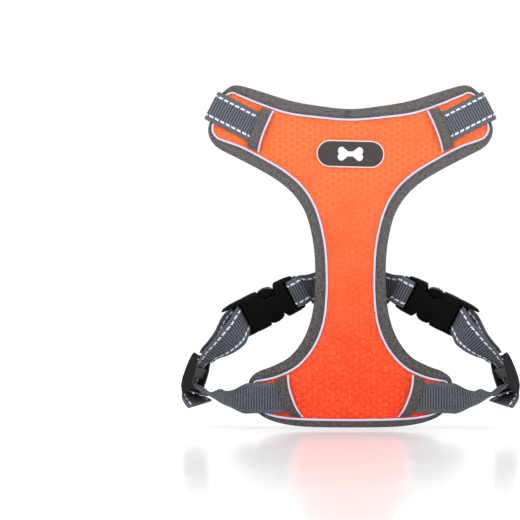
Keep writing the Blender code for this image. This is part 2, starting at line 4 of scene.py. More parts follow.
import bmesh
import bpy
import numpy as np
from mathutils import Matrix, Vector


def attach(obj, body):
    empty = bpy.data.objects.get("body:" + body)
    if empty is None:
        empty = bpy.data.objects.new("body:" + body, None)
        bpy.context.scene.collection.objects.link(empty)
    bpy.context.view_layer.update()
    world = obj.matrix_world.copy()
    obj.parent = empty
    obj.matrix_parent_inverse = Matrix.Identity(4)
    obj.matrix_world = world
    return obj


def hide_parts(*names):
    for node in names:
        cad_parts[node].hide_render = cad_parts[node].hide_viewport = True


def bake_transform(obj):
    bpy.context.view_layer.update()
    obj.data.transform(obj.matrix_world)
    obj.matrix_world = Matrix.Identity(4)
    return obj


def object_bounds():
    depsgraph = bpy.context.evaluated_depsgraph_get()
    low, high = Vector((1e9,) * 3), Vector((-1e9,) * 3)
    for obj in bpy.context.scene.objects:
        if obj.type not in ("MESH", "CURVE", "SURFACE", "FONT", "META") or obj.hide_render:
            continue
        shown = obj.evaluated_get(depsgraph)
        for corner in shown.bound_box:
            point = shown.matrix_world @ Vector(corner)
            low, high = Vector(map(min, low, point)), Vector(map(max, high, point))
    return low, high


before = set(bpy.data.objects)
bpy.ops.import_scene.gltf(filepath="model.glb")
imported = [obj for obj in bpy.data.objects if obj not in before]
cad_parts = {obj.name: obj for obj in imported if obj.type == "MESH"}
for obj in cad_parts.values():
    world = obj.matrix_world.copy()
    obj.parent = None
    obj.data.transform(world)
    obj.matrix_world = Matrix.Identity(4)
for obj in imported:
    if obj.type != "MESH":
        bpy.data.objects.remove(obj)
CAD_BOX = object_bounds()

MM = 0.001
WEB_W = 25.4
WEB_T = 1.5
RIB = 2.25          # pitch of the webbing's ribs
HEX = 3.25         # side of one embossed hexagon
FRONT_WEB_Y = -8.4
BACK_WEB_Y = 24.2
EDGE_GAP = 1.6

# half outlines, top centre to bottom centre: x, z, width of the binding
CHEST_HALF = [
    (0, 121.3, 7.7), (27, 124, 8.3), (50, 128.2, 9.3), (72, 135, 8.8), (90, 140.3, 7),
    (98, 140.6, 5.2), (104.5, 136.5, 2.8), (109.5, 130.5, 2.2), (115.2, 115, 2),
    (118.3, 104.5, 2.4), (116, 95.5, 4), (109.5, 88.5, 6.5), (95, 81, 8.5),
    (75, 70.5, 8.5), (58, 60, 8.5), (45, 47.5, 8.5), (36, 31.5, 7.9), (30.7, 8, 8.1),
    (29.3, -14, 8.3), (29.9, -35, 8.7), (33, -54, 9.5), (39.5, -70.5, 9.5),
    (50, -84, 9), (63, -91.5, 8.5), (76, -96.5, 7), (83, -102, 4), (85, -110, 2.4),
    (83.5, -121, 2.2), (78, -130, 2.2), (70, -135.8, 2.8), (56, -140.3, 4),
    (35, -142.8, 5), (0, -143.3, 5),
]
BACK_HALF = [
    (0, 84, 5), (14, 86.5, 5), (28, 94, 5), (39, 101.5, 4.4), (46, 105.4, 3),
    (51.5, 103.8, 2.2), (57, 96, 2.2), (63, 84.5, 2.2), (64, 78, 3), (57, 71.5, 5),
    (44, 64, 5), (33, 55, 5), (27, 43, 5), (25, 28, 5), (24.5, 10, 5),
    (24.5, -12, 5), (24.5, -32, 5), (23, -48, 5), (18, -57, 4.5), (10, -61.5, 5),
    (0, -62.5, 5),
]
UPPER_BAND = [(64.2, 119.6), (70.7, 105.2), (74.3, 95.2), (76.6, 85.4)]
UPPER_BAND_OUT = [(73.4, 122.2), (78.6, 112.0), (82.8, 100.8), (86.0, 90.2)]
LOWER_BAND = [(51.8, -99.8), (51.2, -108), (49.1, -116.3), (45.0, -126.5), (39.8, -134.6)]
LOWER_BAND_OUT = [(61.2, -103.0), (60.2, -110.5), (57.6, -119.0), (53.8, -127.6),
                  (50.0, -133.6)]
BADGE = (0.0, 83.9, 56.3, 22.5)
BADGE_TURN = 1.4

WING_TIP = Vector((114.9, 0, 124.2))
WING_ANGLE = 27.2
BUCKLE_C = Vector((73.1, 16.0, -44.8))
BUCKLE_SLOPE = 26.5
BUCKLE_TILT = 20.0
SLIDER_C = Vector((130.0, 10.0, -99.8))
SLIDER_U = Vector((-0.42, 0, 0.907)).normalized()
SLIDER_FACE = Vector((-0.95, -0.28, 0))
RING_AXIS = (31.2, -25.0)


# ---------------------------------------------------------------- shader values

class Val:
    """One number in a material; arithmetic on it makes Math nodes."""

    def __init__(self, tree, out):
        self.tree, self.out = tree, out

    def op(self, kind, *others):
        node = self.tree.nodes.new("ShaderNodeMath")
        node.operation = kind
        for i, v in enumerate((self, *others)):
            if isinstance(v, Val):
                self.tree.links.new(v.out, node.inputs[i])
            else:
                node.inputs[i].default_value = v
        return Val(self.tree, node.outputs[0])

    def __add__(self, v): return self.op("ADD", v)
    def __sub__(self, v): return self.op("SUBTRACT", v)
    def __mul__(self, v): return self.op("MULTIPLY", v)
    def abs(self): return self.op("ABSOLUTE")
    def sin(self): return self.op("SINE")
    def max(self, v): return self.op("MAXIMUM", v)
    def min(self, v): return self.op("MINIMUM", v)
    def wrap(self, v): return self.op("FLOORED_MODULO", v)
    def wave(self, period): return (self * (2 * math.pi / period)).sin() * 0.5 + 0.5
    def flip(self): return self * -1 + 1

    def fade(self, low, high):
        """0 below low, 1 above high, smooth between; low may be the larger."""
        node = self.tree.nodes.new("ShaderNodeMapRange")
        node.interpolation_type = "SMOOTHSTEP"
        self.tree.links.new(self.out, node.inputs["Value"])
        node.inputs["From Min"].default_value = min(low, high)
        node.inputs["From Max"].default_value = max(low, high)
        node.inputs["To Min"].default_value = 0 if low < high else 1
        node.inputs["To Max"].default_value = 1 if low < high else 0
        return Val(self.tree, node.outputs["Result"])


class Nodes:
    """The pieces that the materials below are put together from."""

    def __init__(self, tree):
        self.tree = tree
        self.place = tree.nodes.new("ShaderNodeTexCoord").outputs["Object"]

    def split(self, out):
        node = self.tree.nodes.new("ShaderNodeSeparateXYZ")
        self.tree.links.new(out, node.inputs[0])
        return [Val(self.tree, o) * 1000 for o in node.outputs]

    def xyz(self):
        return self.split(self.place)

    def uv(self):
        node = self.tree.nodes.new("ShaderNodeUVMap")
        node.uv_map = "UVMap"
        return self.split(node.outputs[0])[:2]

    def noise(self, size, detail=3.0):
        """Noise from 0 to 1 whose blobs are about size millimetres."""
        node = self.tree.nodes.new("ShaderNodeTexNoise")
        self.tree.links.new(self.place, node.inputs["Vector"])
        node.inputs["Scale"].default_value = 1000 / size
        node.inputs["Detail"].default_value = detail
        return Val(self.tree, node.outputs["Fac"])

    def dots(self, size):
        """Distance from the nearest of scattered points, in cells of size millimetres."""
        node = self.tree.nodes.new("ShaderNodeTexVoronoi")
        self.tree.links.new(self.place, node.inputs["Vector"])
        node.inputs["Scale"].default_value = 1000 / size
        node.inputs["Randomness"].default_value = 0.25
        return Val(self.tree, node.outputs["Distance"])

    def mix(self, factor, a, b):
        node = self.tree.nodes.new("ShaderNodeMix")
        node.data_type = "RGBA"
        self.tree.links.new(factor.out, node.inputs[0])
        for socket, colour in ((node.inputs[6], a), (node.inputs[7], b)):
            if isinstance(colour, Val):
                self.tree.links.new(colour.out, socket)
            else:
                socket.default_value = (*colour, 1)
        return Val(self.tree, node.outputs[2])


def material(name, build, depth=0.2, **sockets):
    """build(nodes) gives colour, roughness and height; depth is the bump in millimetres."""
    mat = bpy.data.materials.new(name)
    mat.use_nodes = True
    tree = mat.node_tree
    shader = tree.nodes["Principled BSDF"]
    for socket, value in sockets.items():
        shader.inputs[socket.replace("_", " ")].default_value = value
    colour, rough, height = build(Nodes(tree))
    bump = tree.nodes.new("ShaderNodeBump")
    bump.inputs["Distance"].default_value = depth * MM
    bump.inputs["Strength"].default_value = 1.0
    tree.links.new(height.out, bump.inputs["Height"])
    tree.links.new(colour.out, shader.inputs["Base Color"])
    tree.links.new(rough.out, shader.inputs["Roughness"])
    tree.links.new(bump.outputs[0], shader.inputs["Normal"])
    return mat


def rgb(r, g, b):
    """Linear colour from display values."""
    return tuple(((c / 255 + 0.055) / 1.055) ** 2.4 if c > 10 else c / 3295 for c in (r, g, b))


def hexagon_edge(x, z):
    """Distance in mm to the border of the hexagon that holds a point, made of nodes."""
    wide, high = 3 * HEX, math.sqrt(3) * HEX

    def cell(dx, dz):
        a = ((x - dx).wrap(wide) - wide / 2).abs()
        b = ((z - dz).wrap(high) - high / 2).abs()
        return b.max(a * (math.sqrt(3) / 2) + b * 0.5)
    return cell(0, 0).min(cell(wide / 2, high / 2)) * -1 + math.sqrt(3) / 2 * HEX


def orange(n):
    x, _, z = n.xyz()
    line = hexagon_edge(x, z).fade(0.62, 0.1)
    threads = z.wave(0.78) * 0.6 + x.wave(0.62) * 0.4
    cloud, patch, speck = n.noise(30), n.noise(5, 2), n.noise(1.1, 2)
    # upper: painted light from above, turning the base colour lighter towards the top
    upper = (z + cloud * 60 - 30).fade(-150, 100)
    base = n.mix(upper, rgb(248, 58, 18), rgb(250, 108, 52))
    base = n.mix(patch.fade(0.35, 0.75) * 0.35, base, rgb(255, 104, 52))
    base = n.mix(threads * 0.25, base, rgb(226, 58, 20))
    # painted highlight: hexagon outlines lighter in the upper part, where light from above catches
    # them
    base = n.mix(line * upper * cloud.fade(0.25, 0.7) * 0.28, base, rgb(255, 176, 138))
    # painted shade: hexagon grooves darker in the lower part
    base = n.mix(line * upper.flip() * 0.6, base, rgb(178, 36, 18))
    base = n.mix(speck.fade(0.5, 0.75) * 0.35, base, rgb(255, 150, 104))
    return base, n.noise(3) * 0.15 + 0.62, threads * 0.6 + speck * 0.5 - line * 0.5


def twill(dark, mid, light):
    """Narrow diagonal weave, with painted light from above making it a little lighter towards the
    neck.
    """
    def build(n):
        u, v = n.uv()
        ribs = (u + v * 1.1).wave(1.25)
        cross = (u - v * 0.9).wave(0.9)
        fuzz, speck, cloud = n.noise(0.7, 4), n.noise(1.5, 3), n.noise(11)
        # painted light from above: the tape turns lighter towards the top
        painted_overhead_light = n.xyz()[2].fade(-70, 95)
        base = n.mix(cloud, dark, mid)
        base = n.mix(painted_overhead_light * 0.5, base, light)
        base = n.mix(ribs * 0.5, base, light)
        base = n.mix(speck.fade(0.42, 0.62) * 0.5, base, light)
        base = n.mix(speck.fade(0.5, 0.3) * 0.5, base, dark)
        return base, fuzz * 0.2 + 0.75, ribs * 0.7 + cross * 0.25 + fuzz * 0.5 + speck * 0.5
    return build


def piping_look(n):
    u, v = n.uv()
    mesh = u.wave(0.6) * 0.5 + v.wave(0.5) * 0.5
    grain = n.noise(0.5, 2)
    base = n.mix(mesh * 0.35, rgb(196, 210, 236), rgb(160, 174, 206))
    base = n.mix(n.noise(14).fade(0.45, 0.8) * 0.3, base, rgb(196, 206, 226))
    return base, grain * 0.2 + 0.3, mesh * 0.7 + grain * 0.3


def webbing_look(dashes):
    """Ribbed webbing with checked selvages; dashes adds two rows of reflective thread."""
    def build(n):
        u, v = n.uv()
        rib = u.wave(RIB)
        side = v.abs()
        selvage = side.fade(9.4, 9.9)
        check = (u.wave(RIB) - 0.5) * (v.wave(1.9) - 0.5) * 4 * 0.5 + 0.5
        thread = (v + u * 0.35).wave(0.75)
        fuzz, speck = n.noise(0.6, 3), n.noise(1.3, 3)
        painted_overhead_light = n.xyz()[2].fade(-70, 95)
        # painted shade: the webbing is darker in the grooves between its ribs
        base = n.mix(rib.fade(0.2, 0.85), rgb(30, 33, 37), rgb(94, 97, 105))
        edge = n.mix(check.fade(0.4, 0.6), rgb(38, 42, 46), rgb(104, 108, 116))
        base = n.mix(selvage, base, edge)
        # painted light from above: the webbing turns lighter towards the top, most on the rib
        # crests
        base = n.mix(painted_overhead_light * 0.26 * (rib * 0.8 + 0.2), base, rgb(136, 138, 148))
        base = n.mix(thread * 0.25, base, rgb(58, 62, 68))
        base = n.mix(speck.fade(0.45, 0.65) * 0.35, base, rgb(108, 112, 120))
        base = n.mix(fuzz.fade(0.5, 0.8) * 0.35, base, rgb(122, 126, 134))
        height = rib * 0.5 + thread * 0.3 + fuzz * 0.25 + check * selvage * 0.5
        rough = fuzz * 0.15 + 0.72
        if dashes:
            mask = dash_mask(u, side)
            shine = n.mix(thread * 0.4, rgb(226, 234, 250), rgb(176, 188, 214))
            base = n.mix(mask, base, shine)
            rough = rough - mask * 0.3
            height = height + mask * 0.5
        return base, rough, height
    return build


def dash_mask(u, side):
    """1 on the slanted reflective dashes, either side of the strap's middle."""
    near = (side - 8.6).abs().fade(0.95, 0.6)
    along = ((u + side * 0.55).wrap(5.1) - 2.55).abs().fade(2.0, 1.6)
    return near * along


def plastic(dark, light):
    def build(n):
        grain, cloud = n.noise(0.35, 2), n.noise(9)
        edge = n.tree.nodes.new("ShaderNodeNewGeometry").outputs["Pointiness"]
        # painted highlight: sharp edges and chamfers lighter, where light catches them
        painted_edge_highlight = Val(n.tree, edge).fade(0.52, 0.60)
        base = n.mix(cloud, dark, light)
        base = n.mix(painted_edge_highlight * 0.4, base, rgb(44, 44, 46))
        return base, cloud * 0.12 + grain * 0.1 + 0.34, grain * 0.5 + cloud * 0.3
    return build


def rubber(dark, light):
    def build(n):
        grain, cloud = n.noise(0.5, 3), n.noise(7)
        base = n.mix(cloud * 0.6 + grain * 0.4, dark, light)
        return base, grain * 0.2 + 0.42, grain
    return build


def air_mesh(n):
    hole = n.dots(2.3).fade(0.36, 0.24)
    fuzz = n.noise(0.5, 3)
    cloud = n.noise(25)
    base = n.mix(cloud, rgb(58, 58, 61), rgb(74, 74, 78))
    base = n.mix(fuzz.fade(0.4, 0.7) * 0.4, base, rgb(96, 96, 100))
    base = n.mix(hole * 0.85, base, rgb(20, 20, 21))
    return base, fuzz * 0.1 + 0.82, hole.flip() + fuzz * 0.3


def steel(n):
    scratch, cloud = n.noise(0.4, 4), n.noise(6)
    base = n.mix(cloud, rgb(176, 176, 178), rgb(206, 206, 208))
    return base, scratch * 0.16 + cloud * 0.1 + 0.14, scratch


def dark_thread(n):
    twist = n.noise(0.3, 2)
    return n.mix(twist, rgb(46, 46, 48), rgb(84, 84, 88)), twist * 0.2 + 0.55, twist


def floor_look(n):
    cloud = n.noise(60)
    base = n.mix(cloud, rgb(250, 250, 251), rgb(253, 253, 253))
    base = n.mix(n.xyz()[1].abs().fade(150, 700), base, (1.0, 1.0, 1.0))
    return base, cloud * 0.04 + 0.16, cloud


FUZZ = {"Sheen_Weight": 0.12, "Sheen_Roughness": 0.5, "Specular_IOR_Level": 0.2}
LOOKS = {
    "orange_fabric": material("orange_fabric_look", orange, 0.12, **FUZZ),
    "grey_binding": material("grey_binding_look", twill(
        rgb(42, 40, 39), rgb(58, 55, 53), rgb(112, 108, 107)), 0.25, **FUZZ),
    "reflective_piping": material("reflective_piping_look", piping_look, 0.08,
                                  Specular_IOR_Level=0.7),
    "dashed_webbing": material("dashed_webbing_look", webbing_look(True), 0.2,
                               Specular_IOR_Level=0.25),
    "grey_webbing": material("grey_webbing_look", webbing_look(False), 0.2,
                             Specular_IOR_Level=0.25),
    "black_plastic": material("black_plastic_look", plastic(
        rgb(14, 14, 15), rgb(24, 24, 25)), 0.03, Specular_IOR_Level=0.16),
    "buckle_plastic": material("buckle_plastic_look", plastic(
        rgb(2, 2, 2), rgb(6, 6, 6)), 0.03, Specular_IOR_Level=0.06),
    "badge_rubber": material("badge_rubber_look", rubber(
        rgb(52, 44, 44), rgb(64, 55, 55)), 0.05, Specular_IOR_Level=0.4),
    "badge_rim": material("badge_rim_look", rubber(
        rgb(214, 214, 216), rgb(240, 240, 240)), 0.05, Specular_IOR_Level=0.5),
    "lining_mesh": material("lining_mesh_look", air_mesh, 0.5, **FUZZ),
    "ring_steel": material("ring_steel_look", steel, 0.03, Metallic=1.0),
    "dark_thread": material("dark_thread_look", dark_thread, 0.05),
}


# ---------------------------------------------------------------- curves and frames

def catmull(points, per, closed=False):
    """Points on a smooth curve through tuples of any length."""
    pts = np.array(points, float)
    n = len(pts)
    if closed:
        near = [pts[(np.arange(n) + k) % n] for k in (-1, 0, 1, 2)]
    else:
        near = [pts[np.clip(np.arange(n - 1) + k, 0, n - 1)] for k in (-1, 0, 1, 2)]
    p, q, r, s = (a[:, None, :] for a in near)
    t = (np.arange(per) / per)[None, :, None]
    out = 0.5 * (2 * q + (r - p) * t + (2 * p - 5 * q + 4 * r - s) * t * t
                 + (3 * q - p - 3 * r + s) * t ** 3)
    out = out.reshape(-1, pts.shape[1])
    return out if closed else np.vstack([out, pts[-1:]])


def whole(half, per):
    """Full loop from a half outline, smoothed: rows of x, z, width."""
    left = [(-x, z, w) for x, z, w in reversed(half[1:-1])]
    return catmull(half + left, per, closed=True)


def inset(loop, amount):
    """(x, z) loop moved inwards by a number or one number a point."""
    t = np.roll(loop[:, :2], -1, 0) - np.roll(loop[:, :2], 1, 0)
    t /= np.linalg.norm(t, axis=1)[:, None]
    return loop[:, :2] + np.stack([t[:, 1], -t[:, 0]], 1) * np.reshape(amount, (-1, 1))


def inside(points, loop):
    """Whether each (x, z) point is in the loop."""
    hit = np.zeros(len(points), bool)
    for (ax, az), (bx, bz) in zip(loop, np.roll(loop, -1, 0)):
        cross = (az > points[:, 1]) != (bz > points[:, 1])
        at_x = ax + (points[:, 1] - az) * (bx - ax) / ((bz - az) or 1e-9)
        hit ^= cross & (points[:, 0] < at_x)
    return hit


def nearest(points, loop):
    """Closest place on the loop to each point, and how far it is."""
    best, place = np.full(len(points), 1e9), np.zeros((len(points), 2))
    for a, b in zip(loop, np.roll(loop, -1, 0)):
        d = b - a
        t = np.clip((points - a) @ d / max(d @ d, 1e-12), 0, 1)
        q = a + t[:, None] * d
        far = np.linalg.norm(points - q, axis=1)
        closer = far < best
        best[closer], place[closer] = far[closer], q[closer]
    return place, best


def depth_in(points, loop):
    """How far inside the loop each point is; negative outside."""
    return np.where(inside(points, loop), 1, -1) * nearest(points, loop)[1]


def ease(t):
    t = np.clip(t, 0, 1)
    return t * t * (3 - 2 * t)


def axes(along, face):
    u = along.normalized()
    n = (face - u * face.dot(u)).normalized()
    return u, u.cross(n), n


def at(local, centre, a, b, c):
    u, w, n = local
    return centre + u * a + w * b + n * c


def wing_axes():
    a = math.radians(WING_ANGLE)
    return Vector((math.cos(a), 0, math.sin(a))), Vector((-math.sin(a), 0, math.cos(a)))


def buckle_frame():
    a, t = math.radians(BUCKLE_SLOPE), math.radians(BUCKLE_TILT)
    along = Vector((math.cos(a), 0, -math.sin(a)))
    u, w, n = axes(along, Vector((0, -math.cos(t), -math.sin(t))))
    return u, (w if w.z > 0 else -w), n


def slider_frame():
    return axes(SLIDER_U, SLIDER_FACE)


# ---------------------------------------------------------------- meshes

def piece(name, verts, faces, look, body, stands_for=(), uv=None, side=1, sharp=40):
    """A mesh in millimetres that rides on a body. side -1 mirrors it across X."""
    verts = np.array(verts, float) * (side, 1, 1) * MM
    faces = [tuple(int(i) for i in f) for f in faces]
    mesh = bpy.data.meshes.new(name)
    mesh.from_pydata(verts.tolist(), [], faces)
    if uv is not None:
        layer = mesh.uv_layers.new(name="UVMap")
        index = np.zeros(len(mesh.loops), np.int32)
        mesh.loops.foreach_get("vertex_index", index)
        layer.data.foreach_set("uv", (np.array(uv, float)[index] * MM).ravel())
    outwards(mesh)
    mesh.shade_smooth()
    mesh.set_sharp_from_angle(angle=math.radians(sharp))
    mesh.materials.append(LOOKS[look])
    obj = bpy.data.objects.new(name, mesh)
    bpy.context.collection.objects.link(obj)
    if body:
        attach(obj, body)
    if stands_for:
        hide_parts(*stands_for)
    return obj


def outwards(mesh):
    """Turns every face out."""
    bm = bmesh.new()
    bm.from_mesh(mesh)
    bmesh.ops.recalc_face_normals(bm, faces=bm.faces)
    bm.to_mesh(mesh)
    bm.free()


def tube_faces(rows, cols, closed=False):
    """Quads of a body through rows of sections with cols points each."""
    i = np.arange(rows if closed else rows - 1)[:, None]
    k = np.arange(cols)[None, :]
    a, b, k2 = i * cols, (i + 1) % rows * cols, (k + 1) % cols
    quads = np.stack([a + k, a + k2, b + k2, b + k], -1).reshape(-1, 4).tolist()
    if not closed:
        quads += [list(range(cols)), list(range((rows - 1) * cols, rows * cols))]
    return quads


def unit(v):
    """Rows scaled to length 1."""
    return v / np.maximum(np.linalg.norm(v, axis=-1, keepdims=True), 1e-9)


def lengths(rows):
    """Arc length at each row of a path."""
    return np.concatenate([[0], np.cumsum(np.linalg.norm(np.diff(rows, axis=0), axis=1))])


def wrapped(run, across):
    """Texture coordinates of a body: one section at each run, one point at each across."""
    return np.stack([np.repeat(run, len(across)), np.tile(across, len(run))], 1)


def resample(rows, step):
    """Rows (x, y, z, ...) at even steps of arc length, and those lengths."""
    run = lengths(rows[:, :3])
    count = max(int(run[-1] / step), 2)
    s = np.linspace(0, run[-1], count + 1)
    return np.stack([np.interp(s, run, rows[:, c]) for c in range(rows.shape[1])], 1), s


ACROSS = np.array([-1, -0.985, -0.94, -0.86, -0.755, -0.73, -0.625, -0.6, -0.3, 0,
                   0.3, 0.6, 0.625, 0.73, 0.755, 0.86, 0.94, 0.985, 1])


def ribbon_rows(points, per=10, step=0.6):
    """Even stations along a strap: place, width direction and arc length."""
    rows, s = resample(catmull(points, per), step)
    return rows[:, :3], rows[:, 3:6], s


def ribbon(name, points, look, body, stands_for=(), side=1, width=WEB_W, thick=WEB_T,
           start=0.0, keep=None, swell=None):
    """A strap with woven ribs, rounded selvages and raised dashes.

    keep=(from, to) leaves only that stretch of its length; swell(s) thickens it.
    """
    place, wide, s = ribbon_rows(points)
    tangent = unit(np.gradient(place, axis=0))
    wide = unit(wide)
    normal = unit(np.cross(wide, tangent))
    if keep:
        kept = (s >= keep[0] - 0.31) & (s <= keep[1] + 0.31)
        place, wide, normal, s = place[kept], wide[kept], normal[kept], s[kept]
    b = ACROSS * width / 2
    body_h = thick / 2 * np.sqrt(np.clip(1 - np.abs(ACROSS) ** 9, 0.02, 1))
    wave = 0.5 + 0.5 * np.sin((s + start) * 2 * math.pi / RIB)
    ribs = -0.16 * (1 - wave)[:, None] * (np.abs(ACROSS) < 0.9)[None, :]
    if look == "dashed_webbing":
        along = np.abs(np.mod(s[:, None] + start + np.abs(b) * 0.55, 5.1) - 2.55) < 1.8
        ribs = np.where(along & (np.abs(np.abs(b) - 8.6) < 0.95)[None, :], 0.12, ribs)
    height = body_h[None, :] + ribs
    if swell:
        height = height + swell(s)[:, None] * (np.abs(ACROSS) < 0.98)[None, :]
    up = place[:, None] + wide[:, None] * b[None, :, None] + normal[:, None] * height[..., None]
    low = place[:, None] + wide[:, None] * b[None, :, None] - normal[:, None] * height[..., None]
    verts = np.concatenate([up, low[:, ::-1]], 1)
    both = np.concatenate([b, b[::-1]])
    uv = wrapped(s + start, both)
    cols = len(both)
    return piece(name, verts.reshape(-1, 3), tube_faces(len(s), cols), look, body,
                 stands_for, uv, side)


def grid_in(outline, dx, dz):
    """Cells of a grid whose centres are in the outline, its rim moved onto the outline."""
    low, high = outline.min(0), outline.max(0)
    nx, nz = int((high[0] - low[0]) / dx) + 3, int((high[1] - low[1]) / dz) + 3
    gx = (np.arange(nx + 1) - nx // 2) * dx + (low[0] + high[0]) / 2
    gz = (np.arange(nz + 1) - 1) * dz + low[1]
    cx, cz = np.meshgrid(gx[:-1] + dx / 2, gz[:-1] + dz / 2, indexing="ij")
    full = inside(np.stack([cx.ravel(), cz.ravel()], 1), outline).reshape(nx, nz)
    i, k = np.nonzero(full)
    corner = np.stack([i * (nz + 1) + k, (i + 1) * (nz + 1) + k,
                       (i + 1) * (nz + 1) + k + 1, i * (nz + 1) + k + 1], 1)
    used, quads = np.unique(corner, return_inverse=True)
    quads = quads.reshape(-1, 4)
    points = np.stack([gx[used // (nz + 1)], gz[used % (nz + 1)]], 1)
    edges = np.concatenate([quads[:, [a, (a + 1) % 4]] for a in range(4)])
    key = np.sort(edges, 1)
    _, first, count = np.unique(key, axis=0, return_index=True, return_counts=True)
    rim = edges[first[count == 1]]
    onto = np.unique(rim)
    points[onto] = nearest(points[onto], outline)[0]
    return points, quads, rim


def sheet_piece(name, outline, step, front, back, look, body, stands_for):
    """Closed padded sheet: front and back give the depth at each (x, z)."""
    points, quads, rim = grid_in(outline, *step)
    n = len(points)
    ahead = np.stack([points[:, 0], front(points), points[:, 1]], 1)
    behind = np.stack([points[:, 0], back(points), points[:, 1]], 1)
    faces = np.concatenate([quads, quads[:, ::-1] + n,
                            np.stack([rim[:, 1], rim[:, 0], rim[:, 0] + n, rim[:, 1] + n], 1)])
    return piece(name, np.concatenate([ahead, behind]), faces, look, body, stands_for)


def turned(points, degrees):
    """(x, z) points turned clockwise about the origin."""
    a = math.radians(degrees)
    return points @ np.array([[math.cos(a), -math.sin(a)], [math.sin(a), math.cos(a)]])


def pill(width, height, count=24):
    """Outline of the badge: a bar with round ends, sewn on a little askew."""
    r, out = height / 2, []
    for way in (1, -1):
        for k in range(count + 1):
            a = math.radians(90 - 180 * k / count)
            out.append((way * (width / 2 - r + r * math.cos(a)), way * r * math.sin(a)))
    return turned(np.array(out), BADGE_TURN)


def stitches(name, lines, look, body, side=1, pitch=2.8, long=2.0, r=0.26, out=(0, -1, 0)):
    """Rows of sewn thread: one small rounded bead for each stitch."""
    verts, faces = [], []
    ring = [(math.cos(math.radians(k)), math.sin(math.radians(k))) for k in range(0, 360, 60)]
    rows = [(-0.5, 0.25), (-0.32, 0.85), (0, 1), (0.32, 0.85), (0.5, 0.25)]
    for line in lines:
        line = np.array(line, float)
        place, _ = resample(line, pitch)
        tangent = unit(np.gradient(place, axis=0))
        for p, t in zip(place[:-1] + np.diff(place, axis=0) / 2, tangent):
            across = unit(np.cross(t, out))
            away = np.cross(across, t)
            first = len(verts)
            verts += [p + t * long * a + (across * c + away * d) * r * w
                      for a, w in rows for c, d in ring]
            faces += [[first + i for i in f] for f in tube_faces(len(rows), len(ring))]
    return piece(name, verts, faces, look, body, side=side)


# ---------------------------------------------------------------- panels

def hex_edge(points):
    """Distance to the border of the hexagon that holds each (x, z) point."""
    size = np.array([3 * HEX, math.sqrt(3) * HEX])
    found = np.full(len(points), 1e9)
    for shift in (0, 0.5):
        g = np.abs(np.mod(points - size * shift, size) - size / 2)
        found = np.minimum(found, np.maximum(g[:, 1], g[:, 0] * math.sqrt(3) / 2 + g[:, 1] / 2))
    return math.sqrt(3) / 2 * HEX - found


def puff(outline, free, cell, push, cap):
    """Cloth over the panel, pinned where free is 0 or less and blown out by a little air.

    Gives a function of (x, z) points: how far the cloth stands out there.
    """
    points, quads, _ = grid_in(outline, cell, cell)
    loose = free(points)
    mesh = bpy.data.meshes.new("puff")
    mesh.from_pydata([(x * MM, 0, z * MM) for x, z in points], [], quads.tolist())
    obj = bpy.data.objects.new("puff", mesh)
    bpy.context.collection.objects.link(obj)
    pins = obj.vertex_groups.new(name="pins")
    pins.add([int(i) for i in np.nonzero(loose <= 0)[0]], 1.0, "REPLACE")
    cloth = obj.modifiers.new("cloth", "CLOTH")
    cloth.settings.vertex_group_mass = "pins"
    cloth.settings.effector_weights.gravity = 0
    cloth.settings.use_pressure = True
    cloth.settings.uniform_pressure_force = push
    cloth.settings.shrink_min = -0.012
    cloth.settings.tension_stiffness = 25
    cloth.settings.compression_stiffness = 25
    cloth.settings.bending_stiffness = 0.4
    cloth.collision_settings.use_collision = False
    scene = bpy.context.scene
    for f in range(1, 21):
        scene.frame_set(f)
    done = obj.evaluated_get(bpy.context.evaluated_depsgraph_get()).to_mesh()
    y = np.array([v.co.y for v in done.vertices]) / MM
    bpy.data.objects.remove(obj)
    scene.frame_set(1)
    y = cap * np.tanh(np.abs(y) / cap)
    return surface(points, y, cell)


def surface(points, y, cell):
    """Reads scattered heights on a near-regular grid back at any point."""
    low = points.min(0) - cell
    shape = tuple(((points.max(0) - low) / cell).astype(int) + 3)
    total, weight = np.zeros(shape), np.zeros(shape)
    spot = np.round((points - low) / cell).astype(int)
    np.add.at(total, (spot[:, 0], spot[:, 1]), y)
    np.add.at(weight, (spot[:, 0], spot[:, 1]), 1)
    field = total / np.maximum(weight, 1)

    def read(q):
        f = np.clip((q - low) / cell, 0, np.array(shape) - 1.001)
        i = f.astype(int)
        t = f - i
        a = field[i[:, 0], i[:, 1]] * (1 - t[:, 0]) + field[i[:, 0] + 1, i[:, 1]] * t[:, 0]
        b = field[i[:, 0], i[:, 1] + 1] * (1 - t[:, 0]) + field[i[:, 0] + 1, i[:, 1] + 1] * t[:, 0]
        return a * (1 - t[:, 1]) + b * t[:, 1]
    return read


def band_loop(line, far):
    return np.vstack([catmull(line, 4), catmull(far, 4)[::-1]])


